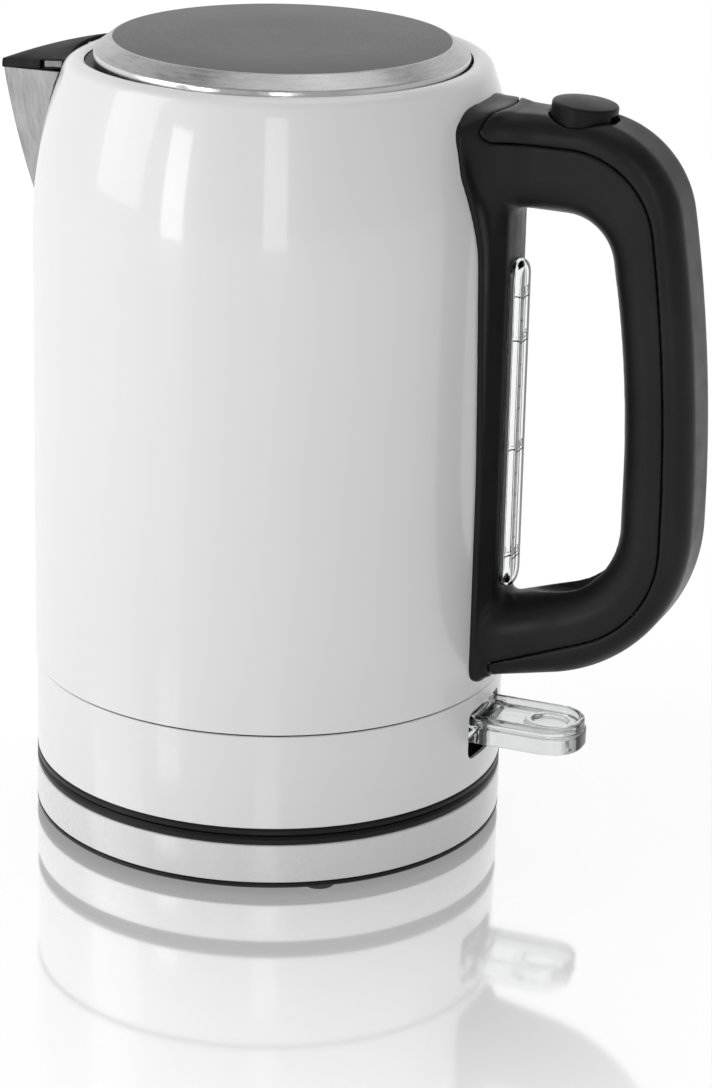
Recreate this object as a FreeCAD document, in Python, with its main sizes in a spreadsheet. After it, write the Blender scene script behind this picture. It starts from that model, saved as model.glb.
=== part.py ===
"""Cordless electric kettle on a 360-degree base, in millimetres.

Origin: on the surface it stands on, under the jug's axis. +Z is up, +X points to the handle and the
spout points to -X. Every sub-part is one object whose Label is its node name.
"""
import FreeCAD, Part
import math
import os
import Sketcher

V = FreeCAD.Vector
X_AXIS, Y_AXIS, Z_AXIS = V(1, 0, 0), V(0, 1, 0), V(0, 0, 1)

doc = FreeCAD.newDocument("kettle")
sheet = doc.addObject("Spreadsheet::Sheet", "dims")

# Driving dimensions: alias, value, meaning.
DIMENSIONS = [
    ("jug_radius", 71.3, "outside radius of the jug's shell"),
    ("shell_wall", 0.8, "steel wall of the shell"),
    ("band_wall", 1.0, "wall of the lower band and the base ring's lip"),
    ("band_radius", 70.8, "outside radius of the lower band"),
    ("base_radius", 71.0, "outside radius of the white base ring"),
    ("foot_height", 1.9, "rubber feet"),
    ("ring_bottom", 3.55, "lower edge of the base ring"),
    ("ring_top", 15.45, "upper edge of the base ring"),
    ("plate_rim_top", 18.0, "top of the base plate's raised rim"),
    ("plate_level", 14.6, "flat top of the base plate"),
    ("jug_bottom", 18.3, "underside of the jug"),
    ("band_bottom", 20.65, "lower edge of the band"),
    ("band_top", 49.6, "upper edge of the band"),
    ("shell_bottom", 50.3, "lower edge of the shell"),
    ("shoulder_start", 180.0, "height where the shell begins to taper"),
    ("shoulder_radius", 148.0, "radius of the tapering shoulder's curve"),
    ("rim_top", 233.7, "top of the shell's rolled rim"),
    ("rim_round", 4.0, "radius of the rolled rim"),
    ("mouth_radius", 56.3, "opening inside the rim"),
    ("tank_floor", 58.7, "top of the heating plate"),
    ("lid_offset", 1.0, "lid cap centre towards the handle"),
    ("lid_top", 238.3, "top of the lid cap"),
    ("lid_flat", 49.5, "radius of the lid's flat top"),
    ("lid_radius", 54.5, "radius of the lid's edge"),
    ("lid_chamfer", 234.6, "lower end of the lid's chamfer"),
    ("lid_edge", 231.5, "lower edge of the lid cap"),
    ("plug_radius", 50.0, "lid body below the cap"),
    ("plug_bottom", 222.0, "lower edge of the lid body"),
    ("collar_radius", 52.0, "inside radius of the collar in the mouth"),
    ("hinge_x", 50.2, "lid hinge axis"),
    ("hinge_z", 233.2, "lid hinge axis"),
    ("hinge_pin", 0.9, "radius of the lid's hinge pin"),
    ("socket_radius", 19.2, "radius of the base's socket boss"),
    ("grip_half", 12.3, "half width of the handle"),
    ("grip_wall", 2.5, "wall of the hollow handle"),
    ("grip_round", 6.0, "rounding of the handle's long edges"),
    ("mount_half", 16.6, "half width of the handle's mount on the shell"),
    ("column_half", 12.0, "half width of the raised column on the mount"),
    ("column_face", 75.0, "outer face of the raised column"),
    ("window_half", 5.3, "half width of the water window"),
    ("window_low", 82.5, "lower end of the water window"),
    ("window_high", 181.8, "upper end of the water window"),
    ("window_face", 78.0, "outer face of the water window"),
    ("lever_half", 11.0, "half width of the switch lever's paddle"),
    ("lever_tip", 101.5, "outer end of the switch lever"),
    ("lever_pivot_x", 61.0, "axis of the switch lever"),
    ("lever_pivot_z", 38.5, "axis of the switch lever"),
    ("slot_half", 12.3, "half width of the lever's slot in the band"),
    ("slot_low", 29.3, "lower edge of the lever's slot"),
    ("slot_high", 45.0, "upper edge of the lever's slot"),
    ("button_x", 93.6, "lid button's axis"),
    ("button_top", 228.9, "top of the lid button"),
    ("button_radius", 10.0, "lid button"),
    ("button_tilt", 3.0, "lean of the lid button, degrees"),
    ("bolt_low", 218.7, "underside of the latch bolt"),
    ("bolt_high", 221.7, "top of the latch bolt"),
    ("spout_reach", 89.8, "spout tip from the jug's axis"),
    ("spout_low", 167.5, "bottom of the spout on the shell"),
    ("spout_top", 222.0, "height of the spout cover's tip"),
    ("spout_half", 24.0, "half width of the spout at its top"),
    ("spout_wall", 0.9, "steel wall of the spout"),
    ("cord_bore", 3.2, "radius of the cord inlet"),
    ("cord_height", 8.7, "height of the cord inlet's axis"),
]
for row, (alias, value, meaning) in enumerate(DIMENSIONS, start=1):
    sheet.set(f"A{row}", alias)
    sheet.set(f"B{row}", str(value))
    sheet.set(f"C{row}", meaning)
    sheet.setAlias(f"B{row}", alias)
doc.recompute()


class Size:
    """A length together with the sheet expression that gives it."""

    def __init__(self, value, text):
        self.value = value
        self.text = text

    def __add__(self, other):
        other = as_size(other)
        return Size(self.value + other.value, f"({self.text} + {other.text})")

    def __sub__(self, other):
        other = as_size(other)
        return Size(self.value - other.value, f"({self.text} - {other.text})")

    def __mul__(self, factor):
        return Size(self.value * factor, f"({self.text} * {factor})")

    __radd__ = __add__
    __rmul__ = __mul__

    def __neg__(self):
        return Size(-self.value, f"(-1 * {self.text})")


def as_size(number):
    return number if isinstance(number, Size) else Size(float(number), str(float(number)))


def dim(alias):
    return Size(float(sheet.get(alias)), f"dims.{alias}")


# Short names for the cells that many sub-parts share.
jug_r, shell_wall, band_wall = dim("jug_radius"), dim("shell_wall"), dim("band_wall")
ring_top, foot, jug_bottom = dim("ring_top"), dim("foot_height"), dim("jug_bottom")
hinge_x, hinge_z = dim("hinge_x"), dim("hinge_z")
grip_half, grip_wall = dim("grip_half"), dim("grip_wall")
lid_r, lid_edge = dim("lid_radius"), dim("lid_edge")
bolt_low, bolt_high = dim("bolt_low"), dim("bolt_high")
tank_floor = dim("tank_floor")

# Places of the hidden fittings.
SCREW_CIRCLE = 45.0             # base screws, from the axis
SCREW_TURNS = (30, 150, 270)    # base screws, degrees round the axis
FOOT_CIRCLE = 64.0              # rubber feet, from the axis
FOOT_TURNS = (-53, 67, 187)     # rubber feet, degrees round the axis
TUBE_X, TUBE_Y = 57.0, 22.0     # steam tube's axis
ELEMENT_RADIUS = 45.0           # heating element's ring
SPREADER_LOW = 54.6             # underside of the heat spreader
EAR_MIDDLE = 14.4               # hinge ears of the collar, from the middle
BOSS_HALF = 7.5                 # half width of the lid's hinge boss
TAIL_HALF = 24.6                # half width of the lid's flat back
SPRING_SIDE = 6.0               # button springs, from the middle
SPRING_FOOT = 217.15            # where the button springs stand
RAMP = 0.75                     # slope of the button's stem and of the bolt's window
BOLT_NOSE = 44.3                # inner end of the latch bolt
PADDLE_LOW = 34.6               # underside of the switch lever's paddle
PADDLE_THICK = 8.5              # height of the switch lever's paddle
GAUGE_GAP = 3.4                 # half width of the shell's slot behind the water window


# ---- helpers: sketches, bodies, primitives and booleans ----

def bind(obj, **sizes):
    """Ties properties of an object to sheet expressions."""
    for name, size in sizes.items():
        obj.setExpression(name, as_size(size).text)
    return obj


def new_body(name):
    return doc.addObject("PartDesign::Body", name)


def sketch_on(body, role, lift=0):
    """A sketch on one of the body's own origin planes, raised along the plane's normal."""
    sketch = body.newObject("Sketcher::SketchObject", f"{body.Name}_sketch")
    plane = [f for f in body.Origin.OriginFeatures if f.Role == role][0]
    sketch.AttachmentSupport = [(plane, "")]
    sketch.MapMode = "FlatFace"
    if as_size(lift).value:
        sketch.setExpression("AttachmentOffset.Base.z", as_size(lift).text)
    return sketch


def fix_point(sketch, geo, pos, point):
    """Holds one sketch point at its two coordinates, each bound to its expression."""
    for kind, axis, size in (("DistanceX", -2, point[0]), ("DistanceY", -1, point[1])):
        size = as_size(size)
        if abs(size.value) < 1e-9:
            sketch.addConstraint(Sketcher.Constraint("PointOnObject", geo, pos, axis))
            continue
        index = sketch.addConstraint(Sketcher.Constraint(kind, -1, 1, geo, pos, size.value))
        sketch.setExpression(f"Constraints[{index}]", size.text)


def draw_polygon(sketch, points):
    """A closed outline of straight lines through points given as pairs of sizes."""
    flat = [V(as_size(a).value, as_size(b).value, 0) for a, b in points]
    count = len(flat)
    first = sketch.GeometryCount
    for i in range(count):
        sketch.addGeometry(Part.LineSegment(flat[i], flat[(i + 1) % count]), False)
    for i in range(count):
        sketch.addConstraint(
            Sketcher.Constraint("Coincident", first + i, 2, first + (i + 1) % count, 1))
    for i, point in enumerate(points):
        fix_point(sketch, first + i, 1, point)


def revolved(name, points):
    """A body of revolution about Z from an outline of (radius, height) pairs."""
    body = new_body(name)
    sketch = sketch_on(body, "XZ_Plane")
    draw_polygon(sketch, points)
    turn = body.newObject("PartDesign::Revolution", f"{name}_turn")
    turn.Profile = sketch
    turn.ReferenceAxis = (sketch, ["V_Axis"])
    turn.Angle = 360
    body.Tip = turn
    return body


def padded(name, role, points, length, lift=0, both_ways=False):
    """A prism: the outline on an origin plane, padded by length."""
    body = new_body(name)
    sketch = sketch_on(body, role, lift)
    draw_polygon(sketch, points)
    pad = body.newObject("PartDesign::Pad", f"{name}_pad")
    pad.Profile = sketch
    pad.SideType = "Symmetric" if both_ways else "One side"
    bind(pad, Length=length)
    body.Tip = pad
    return body


def box(low, high, name="box"):
    """A box between two corners given as triples of sizes."""
    low = [as_size(a) for a in low]
    high = [as_size(a) for a in high]
    solid = doc.addObject("Part::Box", name)
    bind(solid, Length=high[0] - low[0], Width=high[1] - low[1], Height=high[2] - low[2])
    solid.setExpression("Placement.Base.x", low[0].text)
    solid.setExpression("Placement.Base.y", low[1].text)
    solid.setExpression("Placement.Base.z", low[2].text)
    return solid


def rod(radius, length, centre, axis=Z_AXIS, name="rod"):
    """A cylinder from a point along an axis."""
    solid = doc.addObject("Part::Cylinder", name)
    bind(solid, Radius=radius, Height=length)
    centre = [as_size(a) for a in centre]
    spot = V(centre[0].value, centre[1].value, centre[2].value)
    solid.Placement = FreeCAD.Placement(spot, FreeCAD.Rotation(Z_AXIS, axis))
    solid.setExpression("Placement.Base.x", centre[0].text)
    solid.setExpression("Placement.Base.y", centre[1].text)
    solid.setExpression("Placement.Base.z", centre[2].text)
    return solid


def fused(parts, name="fused"):
    joined = doc.addObject("Part::MultiFuse", name)
    joined.Shapes = parts
    return joined


def cut(base, tools, name="cut"):
    result = doc.addObject("Part::Cut", name)
    result.Base = base
    result.Tool = tools[0] if len(tools) == 1 else fused(tools, f"{name}_tools")
    return result


def common(first, second, name="common"):
    result = doc.addObject("Part::Common", name)
    result.Base = first
    result.Tool = second
    return result


def group(parts, name):
    """Separate solids kept together in one node."""
    together = doc.addObject("Part::Compound", name)
    together.Links = parts
    return together


def set_shape(name, shape):
    """A part whose shape is made with Part functions from the sheet's sizes."""
    feature = doc.addObject("Part::Feature", name)
    feature.Shape = shape
    feature.Placement = shape.Placement
    return feature


NODES = []


def node(obj, name):
    """Registers a finished sub-part under its node name."""
    obj.Label = name
    NODES.append(obj)
    return obj


def polar(radius, degrees, height=0):
    angle = math.radians(degrees)
    return V(radius * math.cos(angle), radius * math.sin(angle), height)


# ---- outlines with arcs, in the XZ plane ----

def rounded_edges(corners):
    """Edges of an open path through (x, z, radius) corners, each corner rounded to its radius."""
    points = [V(x, 0, z) for x, z, _ in corners]
    edges = []
    last = points[0]
    for before, here, after, corner in zip(points, points[1:], points[2:], corners[1:]):
        to_before = (before - here).normalize()
        to_after = (after - here).normalize()
        half = to_before.getAngle(to_after) / 2
        setback = corner[2] / math.tan(half)
        start = here + to_before * setback
        end = here + to_after * setback
        middle = here + (to_before + to_after).normalize() * (corner[2] / math.sin(half) - corner[2])
        edges.append(Part.makeLine(last, start))
        edges.append(Part.Arc(start, middle, end).toShape())
        last = end
    edges.append(Part.makeLine(last, points[-1]))
    return edges


def slab_between(path_a, path_b, half_width):
    """A plate between two rounded paths, centred on the XZ plane."""
    first = rounded_edges(path_a)
    second = rounded_edges(path_b)
    ends = [Part.makeLine(V(path_a[0][0], 0, path_a[0][1]), V(path_b[0][0], 0, path_b[0][1])),
            Part.makeLine(V(path_a[-1][0], 0, path_a[-1][1]), V(path_b[-1][0], 0, path_b[-1][1]))]
    outline = Part.Wire(Part.__sortEdges__(first + second + ends))
    face = Part.Face(outline)
    face.translate(V(0, -half_width, 0))
    return face.extrude(V(0, 2 * half_width, 0))


def inset_path(path, inward):
    """The same path moved inwards: every corner shifts along its bisector and its radius shrinks."""
    points = [V(x, 0, z) for x, z, _ in path]
    moved = []
    for i, corner in enumerate(path):
        before = points[max(i - 1, 0)]
        here = points[i]
        after = points[min(i + 1, len(path) - 1)]
        into = (here - before) if i else (after - here)
        out = (after - here) if i < len(path) - 1 else into
        normal_in = V(into.z, 0, -into.x).normalize()
        normal_out = V(out.z, 0, -out.x).normalize()
        bisector = (normal_in + normal_out).normalize()
        shift = bisector * (inward / bisector.dot(normal_in))
        moved.append((here.x + shift.x, here.z + shift.z, corner[2] - inward))
    return moved


# Handle outlines from the top of the mount round to its foot.
OUTER_PATH = [(73.0, 225.9, 0), (121.15, 225.9, 31), (133.1, 156.3, 500), (133.1, 68.2, 50), (76.0, 56.2, 0)]
SEAM_PATH = [(73.0, 217.8, 0), (115.2, 217.8, 26), (124.9, 154.6, 520), (124.9, 82.8, 34), (76.0, 61.85, 0)]
INNER_PATH = [(73.0, 198.7, 0), (103.6, 198.5, 14), (111.9, 150.8, 413), (111.9, 92.2, 27), (73.0, 79.6, 0)]


def shell_curve():
    """Centre of the shoulder's arc and the angle at which the rolled rim takes over."""
    centre_x = jug_r.value - dim("shoulder_radius").value
    reach = dim("shoulder_radius").value - dim("rim_round").value
    rise = dim("rim_top").value - dim("rim_round").value - dim("shoulder_start").value
    return centre_x, reach, math.asin(rise / reach)


def shell_outline(offset):
    """Outer edges of the jug from its foot to the rim's top, moved inwards by offset."""
    centre_x, reach, angle = shell_curve()
    start = dim("shoulder_start").value
    centre = V(centre_x, 0, start)
    radius = dim("shoulder_radius").value - offset
    foot_point = V(jug_r.value - offset, 0, dim("shell_bottom").value)
    low = V(jug_r.value - offset, 0, start)
    middle = centre + V(math.cos(angle / 2), 0, math.sin(angle / 2)) * radius
    high = centre + V(math.cos(angle), 0, math.sin(angle)) * radius
    rim_centre = centre + V(math.cos(angle), 0, math.sin(angle)) * reach
    rim_radius = dim("rim_round").value - offset
    bend = (angle + math.pi / 2) / 2
    rim_middle = rim_centre + V(math.cos(bend), 0, math.sin(bend)) * rim_radius
    rim_high = rim_centre + V(0, 0, rim_radius)
    edges = [Part.makeLine(foot_point, low), Part.Arc(low, middle, high).toShape(),
             Part.Arc(high, rim_middle, rim_high).toShape()]
    return edges, foot_point, rim_high, rim_centre


def jug_solid():
    """The jug's whole outside as one solid, which neighbours are trimmed against."""
    edges, foot_point, rim_high, _ = shell_outline(0)
    top = V(0, 0, rim_high.z)
    bottom = V(0, 0, foot_point.z)
    closing = [Part.makeLine(rim_high, top), Part.makeLine(top, bottom), Part.makeLine(bottom, foot_point)]
    face = Part.Face(Part.Wire(Part.__sortEdges__(edges + closing)))
    return face.revolve(V(0, 0, 0), Z_AXIS, 360)


JUG_SOLID = jug_solid()


# ---- base ----

def make_base():
    low = foot
    cover = revolved("bottom_cover_disc", [
        (0, low + 1), (50, low + 1), (52, low), (70.4, low), (71.0, low + 0.6),
        (71.0, low + 1.5), (66.5, low + 1.5), (66.5, low + 2.4), (0, low + 2.4)])
    holes = []
    for turn in SCREW_TURNS:
        spot = polar(SCREW_CIRCLE, turn)
        holes.append(rod(1.7, 5, (spot.x, spot.y, low - 1)))
        holes.append(rod(3.2, 1.8, (spot.x, spot.y, low - 0.5)))
    node(cut(cover, holes), "base_bottom_cover")

    ring = revolved("ring_turned", [
        (69.0, dim("ring_bottom")), (70.5, dim("ring_bottom")),
        (dim("base_radius"), dim("ring_bottom") + 0.5), (dim("base_radius"), ring_top - 0.5),
        (70.5, ring_top), (66.9, ring_top), (66.9, ring_top - 1.2), (69.0, ring_top - 1.2)])
    inlet_hole = rod(dim("cord_bore") + 0.9, 20, (0, 60, dim("cord_height")), Y_AXIS)
    node(cut(ring, [inlet_hole]), "base_ring")

    level, rim = dim("plate_level"), dim("plate_rim_top")
    plate = revolved("plate_turned", [
        (19.6, level - 1.6), (66.7, level - 1.6), (66.7, ring_top + 0.1), (70.5, ring_top + 0.1),
        (70.9, ring_top + 0.7), (70.9, rim - 0.8), (70.2, rim), (64.5, rim), (63.0, level), (19.6, level)])
    bosses = []
    pilots = []
    for turn in SCREW_TURNS:
        spot = polar(SCREW_CIRCLE, turn)
        bosses.append(rod(3.2, level - 1 - (low + 2.4), (spot.x, spot.y, low + 2.4)))
        pilots.append(rod(1.3, 8, (spot.x, spot.y, low + 2.4)))
    node(cut(fused([plate] + bosses), pilots), "base_top_plate")

    screws = []
    for turn in SCREW_TURNS:
        spot = polar(SCREW_CIRCLE, turn)
        head = rod(2.8, 1.2, (spot.x, spot.y, low + 0.1))
        shank = rod(1.25, 8, (spot.x, spot.y, low + 1.2))
        slot = box((spot.x - 2, spot.y - 0.3, low), (spot.x + 2, spot.y + 0.3, low + 0.6))
        screws.append(cut(fused([head, shank]), [slot]))
    node(group(screws, "screw_set"), "base_screws")

    feet = []
    for turn in FOOT_TURNS:
        spot = polar(FOOT_CIRCLE, turn)
        foot_body = doc.addObject("Part::Cone", "foot_cone")
        bind(foot_body, Radius1=4.6, Radius2=5.2, Height=foot)
        foot_body.Placement.Base = V(spot.x, spot.y, 0)
        feet.append(foot_body)
    node(group(feet, "foot_set"), "base_feet")

    socket_r = dim("socket_radius")
    node(revolved("socket_turned", [
        (0, 6.0), (24.0, 6.0), (24.0, level - 1.7), (socket_r, level - 1.7), (socket_r, 24.0),
        (socket_r - 1.5, 25.5), (14.0, 25.5), (14.0, 10.0), (12.0, 10.0), (12.0, 25.5), (9.0, 25.5),
        (9.0, 10.0), (7.0, 10.0), (7.0, 25.5), (3.4, 25.5), (3.4, 8.0), (0, 8.0)]), "base_socket")
    contacts = [rod(3.1, 1.5, (0, 0, 8.0))]
    for inner, outer in ((7.1, 8.9), (12.1, 13.9)):
        contacts.append(cut(rod(outer, 1.5, (0, 0, 10.0)), [rod(inner, 1.5, (0, 0, 10.0))]))
    node(group(contacts, "contact_set"), "base_contacts")

    bush = fused([rod(dim("cord_bore") + 0.8, 12, (0, 61, dim("cord_height")), Y_AXIS),
                  rod(dim("cord_bore") + 0.8, 2.0, (0, 71.2, dim("cord_height")), Y_AXIS)])
    node(cut(bush, [rod(dim("cord_bore"), 20, (0, 58, dim("cord_height")), Y_AXIS)]), "cord_inlet")


# ---- coupling carried by the jug ----

def make_connector():
    node(revolved("connector_turned", [
        (0, 26.0), (20.4, 26.0), (20.4, 20.0), (22.0, 20.0), (22.0, 30.0), (0, 30.0)]), "connector_housing")
    pins = [rod(2.6, 14, (0, 0, 12.0))]
    for inner, outer in ((7.6, 8.4), (12.6, 13.4)):
        pins.append(cut(rod(outer, 12, (0, 0, 14.0)), [rod(inner, 12, (0, 0, 14.0))]))
    node(group(pins, "pin_set"), "connector_pins")


# ---- jug ----

def make_shell():
    outer_edges, foot_out, rim_out, rim_centre = shell_outline(0)
    inner_edges, foot_in, rim_in, _ = shell_outline(shell_wall.value)
    mouth = dim("mouth_radius").value
    # The rolled rim runs a little way over the top and down into the mouth.
    drop = rim_centre.x - mouth
    lip_out = V(mouth, 0, rim_centre.z + math.sqrt(dim("rim_round").value ** 2 - drop ** 2))
    lip_mid = V(rim_centre.x - drop / 2, 0,
                rim_centre.z + math.sqrt(dim("rim_round").value ** 2 - (drop / 2) ** 2))
    lip_low = V(mouth, 0, lip_out.z - 1.6)
    lip_in = V(mouth + 0.8, 0, lip_out.z - 1.6)
    edges = outer_edges + inner_edges + [
        Part.Arc(rim_out, lip_mid, lip_out).toShape(), Part.makeLine(lip_out, lip_low),
        Part.makeLine(lip_low, lip_in), Part.makeLine(lip_in, rim_in), Part.makeLine(foot_out, foot_in)]
    wall = Part.Face(Part.Wire(Part.__sortEdges__(edges))).revolve(V(0, 0, 0), Z_AXIS, 360)
    turned = set_shape("shell_turned", wall)
    # Openings: behind the spout, behind the water window, for the latch bolt and the steam tube's mouth.
    spout_gap = padded("spout_gap", "YZ_Plane",
                       [(-15, 222), (-3, 182), (3, 182), (15, 222)], 40, lift=-95)
    gauge_gap = box((60, -GAUGE_GAP, dim("window_low") + 5), (90, GAUGE_GAP, dim("window_high") - 5))
    latch_gap = box((55, -3.5, bolt_low - 0.5), (80, 3.5, bolt_high + 0.5))
    node(cut(turned, [spout_gap, gauge_gap, latch_gap]), "body_shell")


def make_lower_jug():
    band_r, low, high = dim("band_radius"), dim("band_bottom"), dim("band_top")
    ring = revolved("band_turned", [
        (band_r - band_wall, low), (band_r - 0.3, low), (band_r, low + 0.4), (band_r, high - 0.4),
        (band_r - 0.4, high), (band_r - band_wall, high)])
    slot = box((50, -dim("slot_half"), dim("slot_low")), (90, dim("slot_half"), dim("slot_high")))
    node(cut(ring, [slot]), "lower_band")

    floor = jug_bottom
    node(revolved("base_cover_turned", [
        (22.4, floor), (70.2, floor), (70.9, floor + 0.6), (70.9, floor + 1.7), (70.4, floor + 2.2),
        (69.6, floor + 2.2), (69.6, floor + 8), (67.8, floor + 8), (67.8, floor + 2.1),
        (24.2, floor + 2.1), (24.2, floor + 7), (22.4, floor + 7)]), "jug_base_cover")

    inside = jug_r - shell_wall
    plate = revolved("plate_pressed", [
        (0, tank_floor - 1.2), (inside - 2.5, tank_floor - 1.2), (inside - 1.0, tank_floor - 2.7),
        (inside - 1.0, 51.0), (inside, 51.0), (inside, tank_floor - 2.2), (inside - 2.2, tank_floor),
        (0, tank_floor)])
    node(cut(plate, [rod(3.0, 10, (TUBE_X, TUBE_Y, 52))]), "heating_plate")
    node(revolved("spreader_disc", [
        (0, SPREADER_LOW), (54, SPREADER_LOW), (55, SPREADER_LOW + 1), (55, tank_floor - 1.2),
        (0, tank_floor - 1.2)]), "heat_spreader")

    # A sheathed element bent into an open ring, with its two cold ends turned down.
    tube_r, ring_r = 3.3, ELEMENT_RADIUS
    loop = doc.addObject("Part::Torus", "element_loop")
    bind(loop, Radius1=ring_r, Radius2=tube_r)
    loop.Angle3 = 300
    loop.Placement = FreeCAD.Placement(V(0, 0, SPREADER_LOW - tube_r), FreeCAD.Rotation(Z_AXIS, 30))
    ends = []
    for turn in (30, 330):
        spot = polar(ring_r, turn)
        ends.append(rod(1.6, 8, (spot.x, spot.y, SPREADER_LOW - tube_r - 9)))
    node(fused([loop] + ends), "heating_element")

    node(fused([rod(21.5, 5, (0, 0, 30.3)), box((-24, -17, 35.3), (22, 17, 47))]), "controller_body")
    discs = [rod(8, 0.6, (x, 0, 53.9)) for x in (-13, 13)]
    posts = [rod(2, 6.9, (x, 0, 47)) for x in (-13, 13)]
    node(group(discs + posts, "disc_set"), "bimetal_discs")

    node(cut(rod(3.0, 163, (TUBE_X, TUBE_Y, 47.0)), [rod(2.2, 165, (TUBE_X, TUBE_Y, 46.0))]), "steam_tube")
    node(fused([rod(9, 6, (50, 22, 34.0)), box((44, 15, 40), (56, 29, 46.5))]), "steam_thermostat")
    node(rod(2.4, 9, (57.5, -15.8, 36.5), X_AXIS), "indicator_lamp")

    pivot_x, pivot_z = dim("lever_pivot_x"), dim("lever_pivot_z")
    base_top = jug_bottom + 2.1
    cheeks = [box((55, side * 7.5 - 1.5, base_top), (66, side * 7.5 + 1.5, 43)) for side in (-1, 1)]
    shroud = box((63.4, -13.0, base_top), (65.4, 13.0, 47.5))
    doorway = box((60, -6, 27), (70, 6, 46.0))
    pin_hole = rod(1.25, 30, (pivot_x, -15, pivot_z), Y_AXIS)
    node(cut(fused(cheeks + [shroud]), [doorway, pin_hole]), "lever_bracket")
    node(rod(1.2, 18, (pivot_x, -9, pivot_z), Y_AXIS), "lever_pin")

    screws = []
    for turn in (80, 200, 320):
        spot = polar(58, turn)
        screws.append(fused([rod(2.6, 1.5, (spot.x, spot.y, jug_bottom + 2.1)),
                             rod(1.2, 7, (spot.x, spot.y, jug_bottom + 3.5))]))
    node(group(screws, "cover_screw_set"), "jug_screws")


def tapering_wedge(inset):
    """The spout's V: a ruled body from a narrow foot on the shell, carried straight up above its top."""
    reach, half = dim("spout_reach").value - 0.5 - inset, dim("spout_half").value - inset
    low, top = dim("spout_low").value + 2 * inset, dim("spout_top").value + 0.3
    levels = [(low, 72.4, 2.0), (low + 27, 82.6 - inset, 0.62 * half), (top, reach, half)]
    root, crossing = 50.0, 60.5
    wires = []
    for height, front, half_width in levels:
        nose = min(2.2, 0.4 * half_width)
        spread = half_width * (front - root) / (front - crossing)
        path = [V(-root, -spread, height), V(-front + nose, -nose * 0.75, height),
                V(-front, 0, height), V(-front + nose, nose * 0.75, height), V(-root, spread, height)]
        sides = [Part.makeLine(path[0], path[1]), Part.Arc(path[1], path[2], path[3]).toShape(),
                 Part.makeLine(path[3], path[4]), Part.makeLine(path[4], path[0])]
        wires.append(Part.Wire(sides))
    wedge = Part.makeLoft(wires, True, False)
    return wedge.fuse(Part.Face(wires[-1]).extrude(V(0, 0, 14)))


def space_below(tip_height, root_height):
    """Everything under a plane that climbs from the spout's tip to x = -50."""
    tip_x, root_x, depth = -dim("spout_reach").value, -50.0, 120
    outline = [V(tip_x - 1, -40, tip_height), V(root_x, -40, root_height),
               V(root_x, -40, root_height - depth), V(tip_x - 1, -40, root_height - depth)]
    return Part.Face(Part.makePolygon(outline + [outline[0]])).extrude(V(0, 80, 0))


def make_spout():
    tip = dim("spout_top").value
    steel_top = space_below(tip - 2.7, tip + 6.0)
    steel = tapering_wedge(0).cut(tapering_wedge(dim("spout_wall").value))
    node(set_shape("spout_sheet", steel.common(steel_top).cut(JUG_SOLID)), "spout")

    # The cover is a roof with side skirts, open at the tip so that water runs out under it.
    roof_top = space_below(tip + 0.3, tip + 11.6)
    under_roof = space_below(tip - 1.1, tip + 10.2)
    block = tapering_wedge(0).common(roof_top).cut(steel_top).cut(JUG_SOLID)
    hollow = tapering_wedge(1.5).common(under_roof)
    mouth = Part.makeBox(7, 6, 40, V(-92, -3, 190)).common(under_roof)
    behind_rim = Part.makeCylinder(60.8, 60, V(0, 0, 200))
    node(set_shape("spout_lid", block.cut([hollow, mouth, behind_rim])), "spout_cover")


def make_filter():
    frame = box((-61.5, -14, 186), (-59.5, 14, 220))
    window = box((-62, -12, 188), (-59, 12, 218))
    bars = [box((-61.5, -12, z), (-59.5, 12, z + 1)) for z in (198, 208)]
    node(fused([cut(frame, [window])] + bars), "filter_frame")
    sheets = [box((-60.7, -12, z0), (-60.3, 12, z1)) for z0, z1 in ((188, 198), (199, 208), (209, 218))]
    node(group(sheets, "mesh_set"), "filter_mesh")


def make_collar():
    inner = dim("collar_radius")
    ring = revolved("collar_turned", [
        (inner, 214), (inner + 1.6, 214), (inner + 1.6, 222.5), (60.0, 224.5), (60.0, 227.6),
        (56.0, 229.0), (56.0, 230.6), (inner, 230.6)])
    shelf = common(box((44.8, -23.5, 223), (60, 23.5, 227.2)), rod(56, 30, (0, 0, 210)))
    tail_room = box((44, -24.2, 227.2), (62, 24.2, 240))
    ears = []
    for side in (-1, 1):
        neck = padded("ear_neck", "XZ_Plane", [
            (hinge_x - 1.9, hinge_z), (hinge_x - 5.3, 227.0), (hinge_x - 3.4, 227.0),
            (hinge_x - 0.9, hinge_z - 1.67)], 3)
        neck.Placement.Base.y = side * EAR_MIDDLE + 1.5
        eye = rod(1.9, 3, (hinge_x, side * EAR_MIDDLE - 1.5, hinge_z), Y_AXIS)
        ears += [neck, eye]
    bolt_way = box((40, -3.4, bolt_low - 0.4), (70, 3.4, bolt_high + 0.4))
    pin_way = rod(dim("hinge_pin"), 60, (hinge_x, -30, hinge_z), Y_AXIS)
    carved = cut(ring, [tail_room, bolt_way])
    node(cut(fused([carved, shelf] + ears), [pin_way]), "lid_collar")
    node(rod(dim("hinge_pin"), 33, (hinge_x, -16.5, hinge_z), Y_AXIS), "lid_hinge_pin")


# ---- handle ----

def stadium(half, low, high, start_x, end_x):
    """A round-ended bar along Z, standing out along X."""
    centre_low, centre_high = low + half, high - half
    points = [V(start_x, -half, centre_low), V(start_x, -half, centre_high), V(start_x, 0, high),
              V(start_x, half, centre_high), V(start_x, half, centre_low), V(start_x, 0, low)]
    edges = [Part.makeLine(points[0], points[1]), Part.Arc(points[1], points[2], points[3]).toShape(),
             Part.makeLine(points[3], points[4]), Part.Arc(points[4], points[5], points[0]).toShape()]
    return Part.Face(Part.Wire(edges)).extrude(V(end_x - start_x, 0, 0))


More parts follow.
